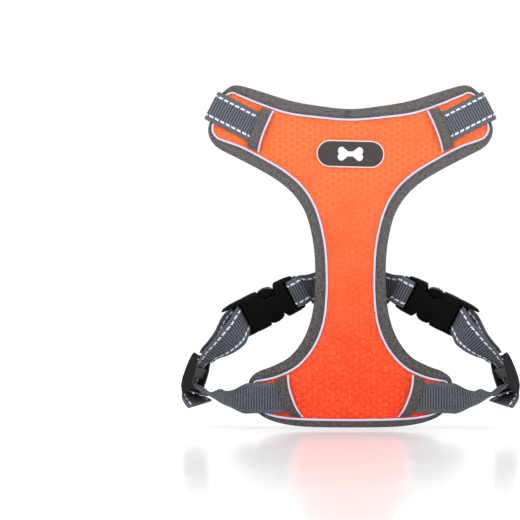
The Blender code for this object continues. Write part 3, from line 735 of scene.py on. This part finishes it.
def padded_panel(prefix, half, fabric_y, back_y, way, covered, push, cap):
    """Foam-filled fabric face with its hexagons; way is -1 where it faces the front."""
    loop = whole(half, 6)
    seam = inset(loop, loop[:, 2] + 2.2)

    def free(q):
        clear = depth_in(q, seam)
        for patch in covered:
            clear = np.minimum(clear, -depth_in(q, patch) - 0.8)
        return clear

    coarse = inset(whole(half, 3), EDGE_GAP)
    blown = puff(coarse, free, 3.0, push, cap)

    def front(q):
        clear = free(q)
        groove = 0.24 * (1 - ease(hex_edge(q) / 0.95)) * ease(clear / 1.5 + 0.6)
        return fabric_y + way * (blown(q) * ease(clear / 5) - groove)

    outline = inset(whole(half, 10), EDGE_GAP)
    cell = (1.5 * HEX / 8, math.sqrt(3) * HEX / 8)
    points, quads, _ = grid_in(outline, *cell)
    bm = bmesh.new()
    made = [bm.verts.new((x, y, z)) for (x, z), y in zip(points, front(points))]
    for quad in quads:
        bm.faces.new([made[i] for i in quad])
    bm.verts.ensure_lookup_table()
    rim_edges = [e for e in bm.edges if len(e.link_faces) == 1]
    grown = bmesh.ops.extrude_edge_only(bm, edges=rim_edges)["geom"]
    for v in grown:
        if isinstance(v, bmesh.types.BMVert):
            v.co.y = back_y
    last = [e for e in bm.edges if len(e.link_faces) == 1]
    bmesh.ops.edgeloop_fill(bm, edges=last)
    bm.verts.index_update()
    verts = [v.co[:] for v in bm.verts]
    faces = [[v.index for v in f.verts] for f in bm.faces]
    bm.free()
    pad = piece(f"{prefix}_pad", verts, faces, "orange_fabric", "harness",
                (f"{prefix}_fabric", f"{prefix}_foam"), sharp=60)
    return loop


def binding(prefix, loop, outer_y, inner_y, way):
    """Folded tape round a panel: a puffed U section, with stitches along both legs."""
    w = loop[:, 2]
    leg = np.minimum(w, 6.5)
    place = np.arange(len(loop))
    ripple = 0.10 * np.sin(place * 0.9) + 0.07 * np.sin(place * 2.3)
    ratio = [0.0, 0.04, 0.12, 0.3, 0.55, 0.8, 0.94, 1.0]
    bulge = [-1.15, -0.55, -0.12, 0.1, 0.16, 0.06, -0.12, -0.55]
    shape = [(w * a, outer_y + way * (b + ripple * 0.6)) for a, b in zip(ratio, bulge)]
    fold = np.minimum(w - 0.2, 1.2)
    shape += [(w - 0.1, outer_y - way * 0.95), (fold, outer_y - way * 1.1),
              (fold, inner_y + way * 0.9), (leg - 0.1, inner_y + way * 0.8)]
    shape += [(leg * a, inner_y - way * b * 0.8) for a, b in
              zip((1.0, 0.94, 0.7, 0.4, 0.12, 0.04), (-0.6, -0.2, 0.05, 0.1, -0.15, -0.6))]
    rails = [inset(loop, a) for a, _ in shape]
    depth = [np.broadcast_to(b, w.shape) for _, b in shape]
    verts = np.stack([np.stack([r[:, 0], d, r[:, 1]], 1) for r, d in zip(rails, depth)], 1)
    across = np.cumsum([0] + [1.2] * (len(shape) - 1))
    uv = wrapped(lengths(loop[:, :2]), across)
    piece(f"{prefix}_binding_tape", verts.reshape(-1, 3),
          tube_faces(len(loop), len(shape), True), "grey_binding", "harness",
          (f"{prefix}_binding",), uv)
    for label, deep, y, face in (
            ("", np.maximum(w - 1.5, w * 0.55), outer_y + way * 0.12, way),
            ("_inside", np.maximum(leg - 1.4, leg * 0.5), inner_y - way * 0.1, -way)):
        sewn = inset(loop, deep)
        row = np.stack([sewn[:, 0], np.full(len(sewn), y), sewn[:, 1]], 1)
        stitches(f"{prefix}_binding_stitches{label}", [np.vstack([row, row[:1]])],
                 "dark_thread", "harness", out=(0, face, 0))


def round_section(count=10, power=2.4):
    """Points of a fat oval, -0.5 to 0.5 both ways."""
    a = np.arange(count) * 2 * math.pi / count
    round_trip = np.stack([np.cos(a), np.sin(a)], 1)
    return np.sign(round_trip) * np.abs(round_trip) ** (2 / power) / 2


def edge_piping(prefix, loop, y, wide):
    """Reflective cord sewn along the binding's inner edge."""
    shape = round_section()
    w = loop[:, 2]
    wave = 1 + 0.05 * np.sin(np.arange(len(loop)) * 1.7)
    rails = [inset(loop, w + 0.3 + (a + 0.5) * wide * wave) for a, _ in shape]
    verts = np.stack([np.stack([r[:, 0], np.full(len(loop), y + b * 1.15), r[:, 1]], 1)
                      for r, (_, b) in zip(rails, shape)], 1)
    uv = wrapped(lengths(loop[:, :2]), np.arange(len(shape)) * 0.5)
    piece(f"{prefix}_piping_cord", verts.reshape(-1, 3),
          tube_faces(len(loop), len(shape), True), "reflective_piping", "harness",
          (f"{prefix}_piping",), uv)


def lining(prefix, half, low, high, faces_front):
    """Air mesh on the dog's side of a panel, between two depths."""
    loop = whole(half, 6)
    outline = inset(loop, np.minimum(loop[:, 2], 6.5) - 0.15)

    def dimple(q):
        soft = np.sin(q[:, 0] / 9.0) * np.sin(q[:, 1] / 11.0) * 0.25 + 0.25
        return soft * ease(depth_in(q, outline) / 7)

    def front(q):
        return low - dimple(q) * faces_front

    def back(q):
        return high + dimple(q) * (not faces_front)

    sheet_piece(f"{prefix}_lining_cloth", outline, (2.2, 2.2), front, back, "lining_mesh",
                "harness", (f"{prefix}_lining",))


def badge():
    x, z, wide, high = BADGE
    mid = np.array([x, z])
    face = pill(wide - 2.2, high - 2.2) + mid

    def dome(q):
        return -7.3 - 0.35 * ease(depth_in(q, face) / 3)

    def floor(q):
        return np.full(len(q), -5.95)

    sheet_piece("badge_plate", face, (0.8, 0.8), dome, floor, "badge_rubber", "harness",
                ("badge",))
    rings = [(0.0, -5.95), (0.0, -7.1), (0.2, -7.5), (0.5, -7.7), (0.8, -7.5), (1.0, -7.1),
             (1.0, -5.95)]
    verts = [np.stack([p[:, 0], np.full(len(p), y), p[:, 1]], 1)
             for p, y in ((pill(wide - 2 * a, high - 2 * a) + mid, y) for a, y in rings)]
    verts = np.stack(verts, 1)
    piece("badge_edge", verts.reshape(-1, 3), tube_faces(len(verts), len(rings), True),
          "badge_rim", "harness", ("badge_rim",))
    emblem(mid)


def emblem(mid):
    """Generic bone, raised on the badge."""
    a = np.linspace(0, 2 * math.pi, 96, endpoint=False)
    lobes = [(x, z) for x in (-7.2, 7.2) for z in (-2.5, 2.5)]
    outline = []
    for angle in a:
        ray = np.array([math.cos(angle), math.sin(angle)])
        reach = min(2.1 / max(abs(ray[1]), 1e-6), 8.0 / max(abs(ray[0]), 1e-6))
        for lobe in lobes:
            c = np.array(lobe)
            b = ray @ c
            gap = b * b - (c @ c - 3.3 ** 2)
            if gap > 0 and b > 0:
                reach = max(reach, b + math.sqrt(gap))
        outline.append(mid + turned(ray * reach, BADGE_TURN))
    rings = [(1.0, -7.55), (1.0, -7.85), (0.95, -8.1), (0.86, -8.2)]
    verts = []
    for share, y in rings:
        ring = [mid + (p - mid) * share for p in outline]
        verts += [(x, y, z) for x, z in ring]
    n = len(outline)
    faces = [[i * n + k, i * n + (k + 1) % n, (i + 1) * n + (k + 1) % n, (i + 1) * n + k]
             for i in range(len(rings) - 1) for k in range(n)]
    faces += [list(range(n)), list(range((len(rings) - 1) * n, len(rings) * n))]
    piece("badge_bone", verts, faces, "badge_rim", "harness", sharp=30)


def band(prefix, line, far_line, web_at, side_name, side):
    """Cross band draped over a strap's sewn end, its reflective edge and its stitches."""
    near, far = catmull(line, 12), catmull(far_line, 12)
    out = unit(far - near)
    count = 15
    share = np.linspace(0, 1, count)
    start = near + out * 1.3
    grid = start[:, None] + (far - start)[:, None] * share[None, :, None]
    off = np.linalg.norm((near + far) / 2 - np.array(web_at), axis=1)
    hump = ease((17.9 - off) / 3.4)
    crease = 0.12 * np.sin(np.arange(len(near)) * 0.8)
    half = 0.45 * np.sqrt(np.clip(1 - np.abs(share * 2 - 1) ** 6, 0.05, 1))
    y = (-6.45 - 3.6 * hump)[:, None]
    top = y - half[None, :] - 0.12 - (crease[:, None] * np.sin(share * math.pi)[None, :]) * 0.5
    low = y + half[None, :] * 0.9
    verts = np.concatenate([np.stack([grid[..., 0], top, grid[..., 1]], -1),
                            np.stack([grid[..., 0], low, grid[..., 1]], -1)[:, ::-1]], 1)
    run = lengths(near)
    v = np.concatenate([share, share[::-1] + 1.2]) * 9
    uv = wrapped(run, v)
    name = f"{prefix}_band_cloth_{side_name}"
    piece(name, verts.reshape(-1, 3), tube_faces(len(near), 2 * count), "grey_binding",
          "harness", (f"{prefix}_band_{side_name}",), uv, side)
    lines = []
    for share_at in (0.12, 0.9):
        p = start + (far - start) * share_at
        lines.append(np.stack([p[:, 0], -6.45 - 3.6 * hump - 0.68, p[:, 1]], 1)[2:-2])
    stitches(f"{prefix}_band_stitches_{side_name}", lines, "dark_thread", "harness", side)
    section = round_section(8)
    centre = np.stack([near[:, 0] + out[:, 0] * 0.1, -6.55 - 2.95 * hump,
                       near[:, 1] + out[:, 1] * 0.1], 1)
    wide = np.stack([out[:, 0], np.zeros(len(out)), out[:, 1]], 1)
    face = unit(np.cross(unit(np.gradient(centre, axis=0)), wide))
    verts = (centre[:, None] + wide[:, None] * section[None, :, :1] * 1.75
             + face[:, None] * section[None, :, 1:] * 1.1)
    uv = wrapped(run, np.arange(8) * 0.5)
    piece(f"{prefix}_band_cord_{side_name}", verts.reshape(-1, 3), tube_faces(len(near), 8),
          "reflective_piping", "harness", (f"{prefix}_band_piping_{side_name}",), uv, side)


# ---------------------------------------------------------------- straps

def neck_strap(side_name, side):
    d, across = wing_axes()
    run = [(-42.5, FRONT_WEB_Y), (-30, FRONT_WEB_Y), (-12, FRONT_WEB_Y), (-4.6, -8.4),
           (-1.7, -8.0), (0.0, -6.6), (0.5, -4.6), (0.4, -2.0), (-0.8, 0.8), (-3.6, 2.9),
           (-8, 4.6), (-21, 9.4), (-34, 14.3), (-47, 19.3), (-57, 23.0), (-63, 24.2),
           (-76, BACK_WEB_Y), (-88, BACK_WEB_Y)]
    points = [(*(WING_TIP + d * s + Vector((0, y, 0))), *across) for s, y in run]
    ribbon(f"neck_webbing_{side_name}", points, "dashed_webbing", "harness",
           (f"neck_strap_{side_name}",), side)
    box = [(-66.5, 9.5), (-84, 9.5), (-84, -9.5), (-66.5, -9.5), (-66.5, 9.5), (-84, -9.5)]
    line = [WING_TIP + d * a + across * b + Vector((0, BACK_WEB_Y + 0.8, 0)) for a, b in box]
    stitches(f"neck_stitches_{side_name}", [line], "dark_thread", "harness", side,
             out=(0, 1, 0))


def girth_webbing():
    local = buckle_frame()
    w = local[1]
    half = [(12, BACK_WEB_Y, -25.6, 0, 0, 1), (20, BACK_WEB_Y, -25.7, 0, 0, 1),
            (27, 23.4, -26.6, 0.06, -0.04, 1), (34, 19.4, -28.8, 0.2, -0.14, 0.97)]
    loop = [(-38.5, 1.4), (-34.5, 2.5), (-30, 2.75), (-27.9, 2.6), (-26.7, 1.9), (-26.2, 0),
            (-26.7, -1.9), (-27.9, -2.6), (-30, -2.75), (-33.2, -2.75), (-36, -2.6)]
    half += [(*at(local, BUCKLE_C, x, 0, z), *w) for x, z in loop]
    mirrored = [(-p[0], p[1], p[2], -p[3], p[4], p[5]) for p in reversed(half)]
    ribbon("girth_strap", mirrored + [(0, BACK_WEB_Y, -25.6, 0, 0, 1)] + half,
           "dashed_webbing", "harness", ("girth_webbing",))


def reflective_points():
    s, b = slider_frame(), buckle_frame()

    def in_slider(u, n):
        return (*at(s, SLIDER_C, u, 0, n), *s[1])

    def in_clip(x, y, z, turn=0.0):
        return (*at(b, BUCKLE_C, x, y, z), *(b[1] + b[0] * turn))

    return [
        (125.8, 4.2, -124.4, 0.75, -0.63, -0.20), (129.4, 6.2, -121.7, 0.68, -0.71, -0.14),
        (133.2, 8.4, -118.8, 0.55, -0.83, -0.02), in_slider(-17.0, 0.6),
        in_slider(-14.5, 0), in_slider(-8, 0), in_slider(0, 0), in_slider(6, 0),
        in_slider(9.5, 0.6), in_slider(12.4, 1.8), (120.4, 8.1, -87.4, 0.33, -0.90, 0.25),
        (116.6, 7.6, -83.4, 0.40, -0.86, 0.32), (109.6, 7.4, -78.6, 0.53, -0.71, 0.46),
        (102.4, 8.4, -72.4, 0.60, -0.52, 0.61),
        in_clip(28.4, -5.8, 7.8, 0.13), in_clip(23.8, -2.6, 6.9, 0.08),
        in_clip(20.6, -0.8, 5.0, 0.02), in_clip(18.6, 0, 2.6), in_clip(17.9, 0, 0.2),
        in_clip(18.6, 0, -2.2), in_clip(21.2, 0, -3.3), in_clip(24.4, -0.5, -4.9),
        in_clip(28, -2.3, -6.2, 0.05), in_clip(33, -4.4, -5.2, 0.1),
        (106.5, 14.8, -71.6, 0.58, -0.56, 0.59), (112.6, 12.4, -77.2, 0.50, -0.74, 0.43),
        (118.6, 11.4, -81.2, 0.40, -0.86, 0.32), in_slider(18.8, -0.2),
    ]


def across_ends(obj, start, end, side):
    """Bakes the fabric's placement into its mesh; the two ends, given for the right side, are not
    used.
    """
    start, end = ((p[0] * side * MM, p[1] * MM, p[2] * MM) for p in (start, end))
    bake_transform(obj)
    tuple(start)
    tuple(end)


def reflective_strap(side_name, side):
    s = slider_frame()
    obj = ribbon(f"reflective_webbing_{side_name}", reflective_points(), "dashed_webbing",
                 None, (f"reflective_strap_{side_name}",), side,
                 swell=lambda s: 0.55 * ease((8.6 - s) / 0.8))
    across_ends(obj, (100, 8.6, -70.4),
                at(s, SLIDER_C, 17, 0, 2), side)
    place, wide, run = ribbon_rows(reflective_points())
    tangent = unit(np.gradient(place, axis=0))
    i = int(np.argmin(np.abs(run - 7.2)))
    w = unit(wide[i] - tangent[i] * (wide[i] @ tangent[i]))
    normal = np.cross(w, tangent[i])
    for label, way in (("front", 1), ("back", -1)):
        line = [place[i] + w * b + normal * way * 1.32 for b in (-11, 0, 11)]
        stitches(f"tail_stitches_{label}_{side_name}", [line], "dark_thread",
                 f"slider_{side_name}", side, out=tuple(normal * way))


def plain_points():
    s = slider_frame()
    return [
        (53.6, FRONT_WEB_Y, -118.2, 0, 0, -1), (70, FRONT_WEB_Y, -118.6, 0, 0, -1),
        (83, -8.9, -118.8, 0, 0.02, -1), (90, -10.4, -119.2, 0, -0.5, -0.86),
        (97, -8.6, -119.2, 0.03, -0.82, -0.57), (105, -5.2, -118.2, 0.10, -0.93, -0.35),
        (111.8, -1.2, -115.2, 0.2, -0.96, -0.22), (*at(s, SLIDER_C, -9.9, 0, 16.4), *s[1]),
    ]


def plain_strap(side_name, side):
    """Cut where the plug's motion ends and the slider's begins."""
    place, _, run = ribbon_rows(plain_points())
    cut = float(run[int(np.argmin(np.abs(place[:, 0] - 104.6)))])
    plug, slider = f"plug_{side_name}", f"slider_{side_name}"
    inner = ribbon(f"plain_webbing_{side_name}", plain_points(), "grey_webbing", None,
                   (f"plain_strap_{side_name}",), side, keep=(0, cut))
    across_ends(inner, (63, FRONT_WEB_Y, -118.4), (103.6, -5.8, -117.7), side)
    outer = ribbon(f"plain_webbing_end_{side_name}", plain_points(), "grey_webbing", None,
                   (), side, keep=(cut, run[-1]))
    s = slider_frame()
    end = at(s, SLIDER_C, -9.9, 0, 16.4)
    across_ends(outer, (105.6, -5, -117.3), end, side)
    loop = [(-9.9, 15.5), (-9.0, 11), (-8.1, 7), (-7.95, 4.6), (-8.7, 2.6), (-10.8, 1.95),
            (-12.9, 2.6), (-13.7, 4.6), (-13.5, 7.4), (-12.9, 10.6), (-12.6, 14)]
    points = [(*at(s, SLIDER_C, u, 0, n), *s[1]) for u, n in loop]
    ribbon(f"loop_webbing_{side_name}", points, "grey_webbing", slider,
           (f"strap_loop_{side_name}",), side)


def spine():
    x = (1, 0, 0)
    under = [(72, 22.8), (40, 22.8), (0, 22.8), (-7, 22.9), (-11.5, 25.6), (-16, 26.15),
             (-35, 26.15), (-40, 25.9), (-44, 23.6), (-50, 22.8)]
    ribbon("spine_strap", [(0, y, z, *x) for z, y in under], "dashed_webbing", "harness",
           ("spine_webbing",))
    arch = [(67, 24.8), (59, 24.9), (54, 27.2), (49, 33.5), (42, 40.5), (31, 44.5),
            (20, 40.5), (13, 33.5), (8, 27.2), (3.5, 24.9), (-4, 24.8)]
    ribbon("handle_strap", [(0, y, z, *x) for z, y in arch], "grey_webbing", "harness",
           ("handle",))
    y0, z0 = RING_AXIS
    r = 2.0 + 0.4 + WEB_T / 2
    hoop = [(z0 + 10, 28.0), (z0 + 6, 28.0), (z0 + r + 0.5, 28.8), (z0 + r, y0)]
    hoop += [(z0 + r * math.cos(a), y0 + r * math.sin(a))
             for a in (math.radians(k) for k in (30, 60, 90, 120, 150))]
    hoop += [(z0 - r, y0), (z0 - r - 0.5, 28.8), (z0 - 6, 28.0), (z0 - 10, 28.0)]
    ribbon("keeper_strap", [(0, y, z, *x) for z, y in hoop], "grey_webbing", "harness",
           ("ring_keeper",), width=21)
    boxes = [(66.5, 57.5, 25.7), (3.0, -3.6, 25.7)]
    lines = [[(a * 10.2, y, z) for a, z in
              ((-1, top), (1, top), (1, low), (-1, low), (-1, top), (1, low))]
             for top, low, y in boxes]
    stitches("spine_stitches", lines, "dark_thread", "harness", out=(0, 1, 0))
    lines = [[(-9, 28.85, z0 + way * 8.2), (9, 28.85, z0 + way * 8.2)] for way in (-1, 1)]
    stitches("keeper_stitches", lines, "dark_thread", "harness", out=(0, 1, 0))
    wrap(arch)


def wrap(arch):
    """Soft sleeve round the handle's grip."""
    rows, s = resample(catmull([(0, y, z) for z, y in arch], 10), 1.0)
    mid = s[-1] / 2
    rows, s = rows[np.abs(s - mid) < 26], s[np.abs(s - mid) < 26]
    tangent = unit(np.gradient(rows, axis=0))
    wide = np.array([[1.0, 0, 0]] * len(rows))
    face = np.cross(wide, tangent)
    shape = round_section(28, 3.2)
    fat = 1 - 0.16 * np.clip((np.abs(s - mid) - 22) / 4, 0, 1) ** 2
    pucker = 1 + 0.03 * np.sin(s * 2.1)
    verts = (rows[:, None] + wide[:, None] * shape[None, :, :1] * 28.2 * fat[:, None, None]
             + face[:, None] * shape[None, :, 1:] * (4.6 * fat * pucker)[:, None, None])
    uv = wrapped(s, np.arange(28) * 2.0)
    obj = piece("handle_sleeve", verts.reshape(-1, 3), tube_faces(len(rows), 28),
                "grey_binding", "harness", (), uv)


# ---------------------------------------------------------------- hardware

def baked(obj):
    """Applies an object's modifiers."""
    bpy.context.view_layer.update()
    done = bpy.data.meshes.new_from_object(obj.evaluated_get(
        bpy.context.evaluated_depsgraph_get()))
    obj.modifiers.clear()
    obj.data = done
    return done


def moulded(node, name, body, voxel=0.45, carve=None, look="black_plastic"):
    """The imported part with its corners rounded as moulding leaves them."""
    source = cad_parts[node]
    mesh = source.data.copy()
    mesh.transform(source.matrix_world)
    obj = bpy.data.objects.new(name, mesh)
    bpy.context.collection.objects.link(obj)
    mod = obj.modifiers.new("remesh", "REMESH")
    mod.mode = "VOXEL"
    mod.voxel_size = voxel * MM
    mod.use_smooth_shade = True
    mod = obj.modifiers.new("smooth", "SMOOTH")
    mod.factor, mod.iterations = 0.5, 7
    done = baked(obj)
    if carve:
        co = np.zeros(len(done.vertices) * 3)
        no = np.zeros(len(done.vertices) * 3)
        done.vertices.foreach_get("co", co)
        done.vertices.foreach_get("normal", no)
        co, no = co.reshape(-1, 3) / MM, no.reshape(-1, 3)
        done.vertices.foreach_set("co", (carve(co, no) * MM).ravel())
    obj.modifiers.new("fewer", "DECIMATE").ratio = 0.45
    done = baked(obj)
    done.name = name
    done.materials.clear()
    done.materials.append(LOOKS[look])
    done.shade_smooth()
    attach(obj, body)
    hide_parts(node)
    return obj


def buckle_local(co, side):
    """Points in the buckle's own axes."""
    u, w, n = (np.array(v) for v in buckle_frame())
    p = co * (side, 1, 1) - np.array(BUCKLE_C)
    return p @ u, p @ w, p @ n


def clip_detail(side, female):
    """A shallow panel pressed into the socket's face, a groove along the plug's rim."""
    def carve(co, no):
        x, y, z = buckle_local(co, side)
        axis, _, face = (np.array(v) * (side, 1, 1) for v in buckle_frame())
        lip = ease((-3.5 - z) / 0.3) * ease((13.5 - np.abs(y)) / 0.3)
        flat = ease((np.abs(no @ face) - 0.75) / 0.2)
        if female:
            panel = ease((4.9 - np.abs(x - 5.6)) / 0.7) * ease((11.5 - np.abs(y)) / 0.7)
            cut = 0.45 * panel
            co = co - axis * (1.0 * lip * ease((-24.2 - x) / 0.5) * (x > -27))[:, None]
        else:
            cut = 0.4 * ease((0.55 - np.abs(x - 14.1)) / 0.3)
            co = co - axis * 0.4 * ease((14.0 - x) / 0.6)[:, None]
            co = co + axis * (0.5 * lip * ease((x - 17.0) / 0.5) * (x < 19.4))[:, None]
        return co - no * (cut * flat)[:, None]
    return carve


def grip_detail(side):
    """Ribs where a finger and a thumb press the prong."""
    def carve(co, no):
        x, y, _ = buckle_local(co, side)
        near = ease((np.abs(y) - 13.6) / 0.8) * ease((5.2 - np.abs(x + 7.6)) / 1.2)
        return co - no * (0.28 * near * (0.5 + 0.5 * np.cos(x * 2 * math.pi / 1.7)))[:, None]
    return carve


def hardware(side_name, side):
    plug = f"plug_{side_name}"
    moulded(f"female_clip_{side_name}", f"socket_shell_{side_name}", "harness",
            carve=clip_detail(side, True), look="buckle_plastic")
    moulded(f"male_clip_{side_name}", f"plug_shell_{side_name}", plug,
            carve=clip_detail(side, False), look="buckle_plastic")
    for end in ("top", "bottom"):
        name = f"prong_{end}_{side_name}"
        moulded(name, f"{name}_grip", name, 0.32, grip_detail(side), "buckle_plastic")
    moulded(f"girth_slider_{side_name}", f"girth_slide_{side_name}", f"slider_{side_name}", 0.4)
    moulded(f"neck_slider_{side_name}", f"neck_slide_{side_name}",
            f"neck_slider_{side_name}", 0.4)


def leash_ring():
    """Welded D ring: round wire, with a small weld bead on its straight side."""
    y0, z0 = RING_AXIS
    half, depth, r = 15.0, 29.0, 2.0
    path = [(-half + 3, 0), (0, 0), (half - 3, 0), (half - 0.6, -0.9), (half, -3.4)]
    path += [(half * math.cos(a), -(depth - half) - half * math.sin(a))
             for a in (math.radians(k * 20) for k in range(0, 10))]
    path += [(-half, -3.4), (-half + 0.6, -0.9)]
    line = catmull([(x, y0, z0 + z) for x, z in path], 6, closed=True)
    tangent = unit(np.roll(line, -1, 0) - np.roll(line, 1, 0))
    deep = np.array([[0, 1.0, 0]] * len(line))
    out = np.cross(tangent, deep)
    weld = 1 + 0.12 * np.exp(-((line[:, 0] / 1.2) ** 2)) * (line[:, 2] > z0 - 1)
    a = np.arange(20) * 2 * math.pi / 20
    verts = line[:, None] + (out[:, None] * np.cos(a)[None, :, None]
                             + deep[:, None] * np.sin(a)[None, :, None]) * (
        r * weld)[:, None, None]
    piece("leash_ring_wire", verts.reshape(-1, 3), tube_faces(len(line), 20, True),
          "ring_steel", "leash_ring", ("leash_ring",))


# ---------------------------------------------------------------- scene

def light(name, place, aim, size, power):
    data = bpy.data.lights.new(name, "AREA")
    data.shape, data.size, data.energy = "DISK", size, power
    obj = bpy.data.objects.new(name, data)
    obj.location = place
    obj.rotation_euler = (Vector(aim) - Vector(place)).to_track_quat("-Z", "Y").to_euler()
    bpy.context.collection.objects.link(obj)


def stage():
    data = bpy.data.cameras.new("camera")
    data.lens, data.sensor_width = 149.5, 36
    data.shift_x, data.shift_y = -0.174, -0.0096
    camera = bpy.data.objects.new("camera", data)
    camera.location = (0, -1.8, 0)
    camera.rotation_euler = (math.radians(90), 0, 0)
    bpy.context.collection.objects.link(camera)
    bpy.context.scene.camera = camera
    low = CAD_BOX[0][2]
    mesh = bpy.data.meshes.new("floor")
    mesh.from_pydata([(x, y, low - 0.002) for x, y in
                      ((-6, -6), (6, -6), (6, 6), (-6, 6))], [], [(0, 1, 2, 3)])
    mesh.materials.append(material("floor_look", floor_look, 0.01, Specular_IOR_Level=0.25))
    floor = bpy.data.objects.new("floor", mesh)
    bpy.context.collection.objects.link(floor)
    world = bpy.context.scene.world or bpy.data.worlds.new("world")
    bpy.context.scene.world = world
    world.use_nodes = True
    back = world.node_tree.nodes["Background"]
    back.inputs["Color"].default_value = (1, 1, 1, 1)
    back.inputs["Strength"].default_value = 1.0
    light("key", (-0.9, -1.6, 1.5), (0, 0, 0), 0.9, 16)
    light("fill", (1.3, -1.5, 0.5), (0, 0, 0), 1.2, 7)
    light("rim", (0.3, 1.6, 1.3), (0, 0, 0), 1.0, 10)
    bpy.context.scene.view_settings.view_transform = "Standard"


def build():
    upper = band_loop(UPPER_BAND, UPPER_BAND_OUT)
    lower = band_loop(LOWER_BAND, LOWER_BAND_OUT)
    x, z, wide, high = BADGE
    mirrored = [patch * (-1, 1) for patch in (upper, lower)]
    covered = [upper, lower, *mirrored, pill(wide, high) + (x, z)]
    loop = padded_panel("chest", CHEST_HALF, -5.55, -1.7, -1, covered, 5.0, 1.9)
    binding("chest", loop, -7.1, -0.35, -1)
    edge_piping("chest", loop, -6.6, 1.75)
    lining("chest", CHEST_HALF, -1.4, 0.0, False)
    spine_patch = np.array([(-13, 74), (13, 74), (13, -52), (-13, -52)], float)
    girth_patch = np.array([(-40, -12), (40, -12), (40, -40), (-40, -40)], float)
    loop = padded_panel("back", BACK_HALF, 21.55, 17.7, 1, [spine_patch, girth_patch],
                        5.0, 1.6)
    binding("back", loop, 22.9, 16.35, 1)
    edge_piping("back", loop, 22.5, 1.5)
    lining("back", BACK_HALF, 16.0, 17.4, True)
    badge()
    girth_webbing()
    spine()
    leash_ring()
    for side_name, side in (("right", 1), ("left", -1)):
        band("upper", UPPER_BAND, UPPER_BAND_OUT, (77.7, 105.4), side_name, side)
        band("lower", LOWER_BAND, LOWER_BAND_OUT, (53.6, -117.2), side_name, side)
        neck_strap(side_name, side)
        reflective_strap(side_name, side)
        plain_strap(side_name, side)
        hardware(side_name, side)


build()
stage()
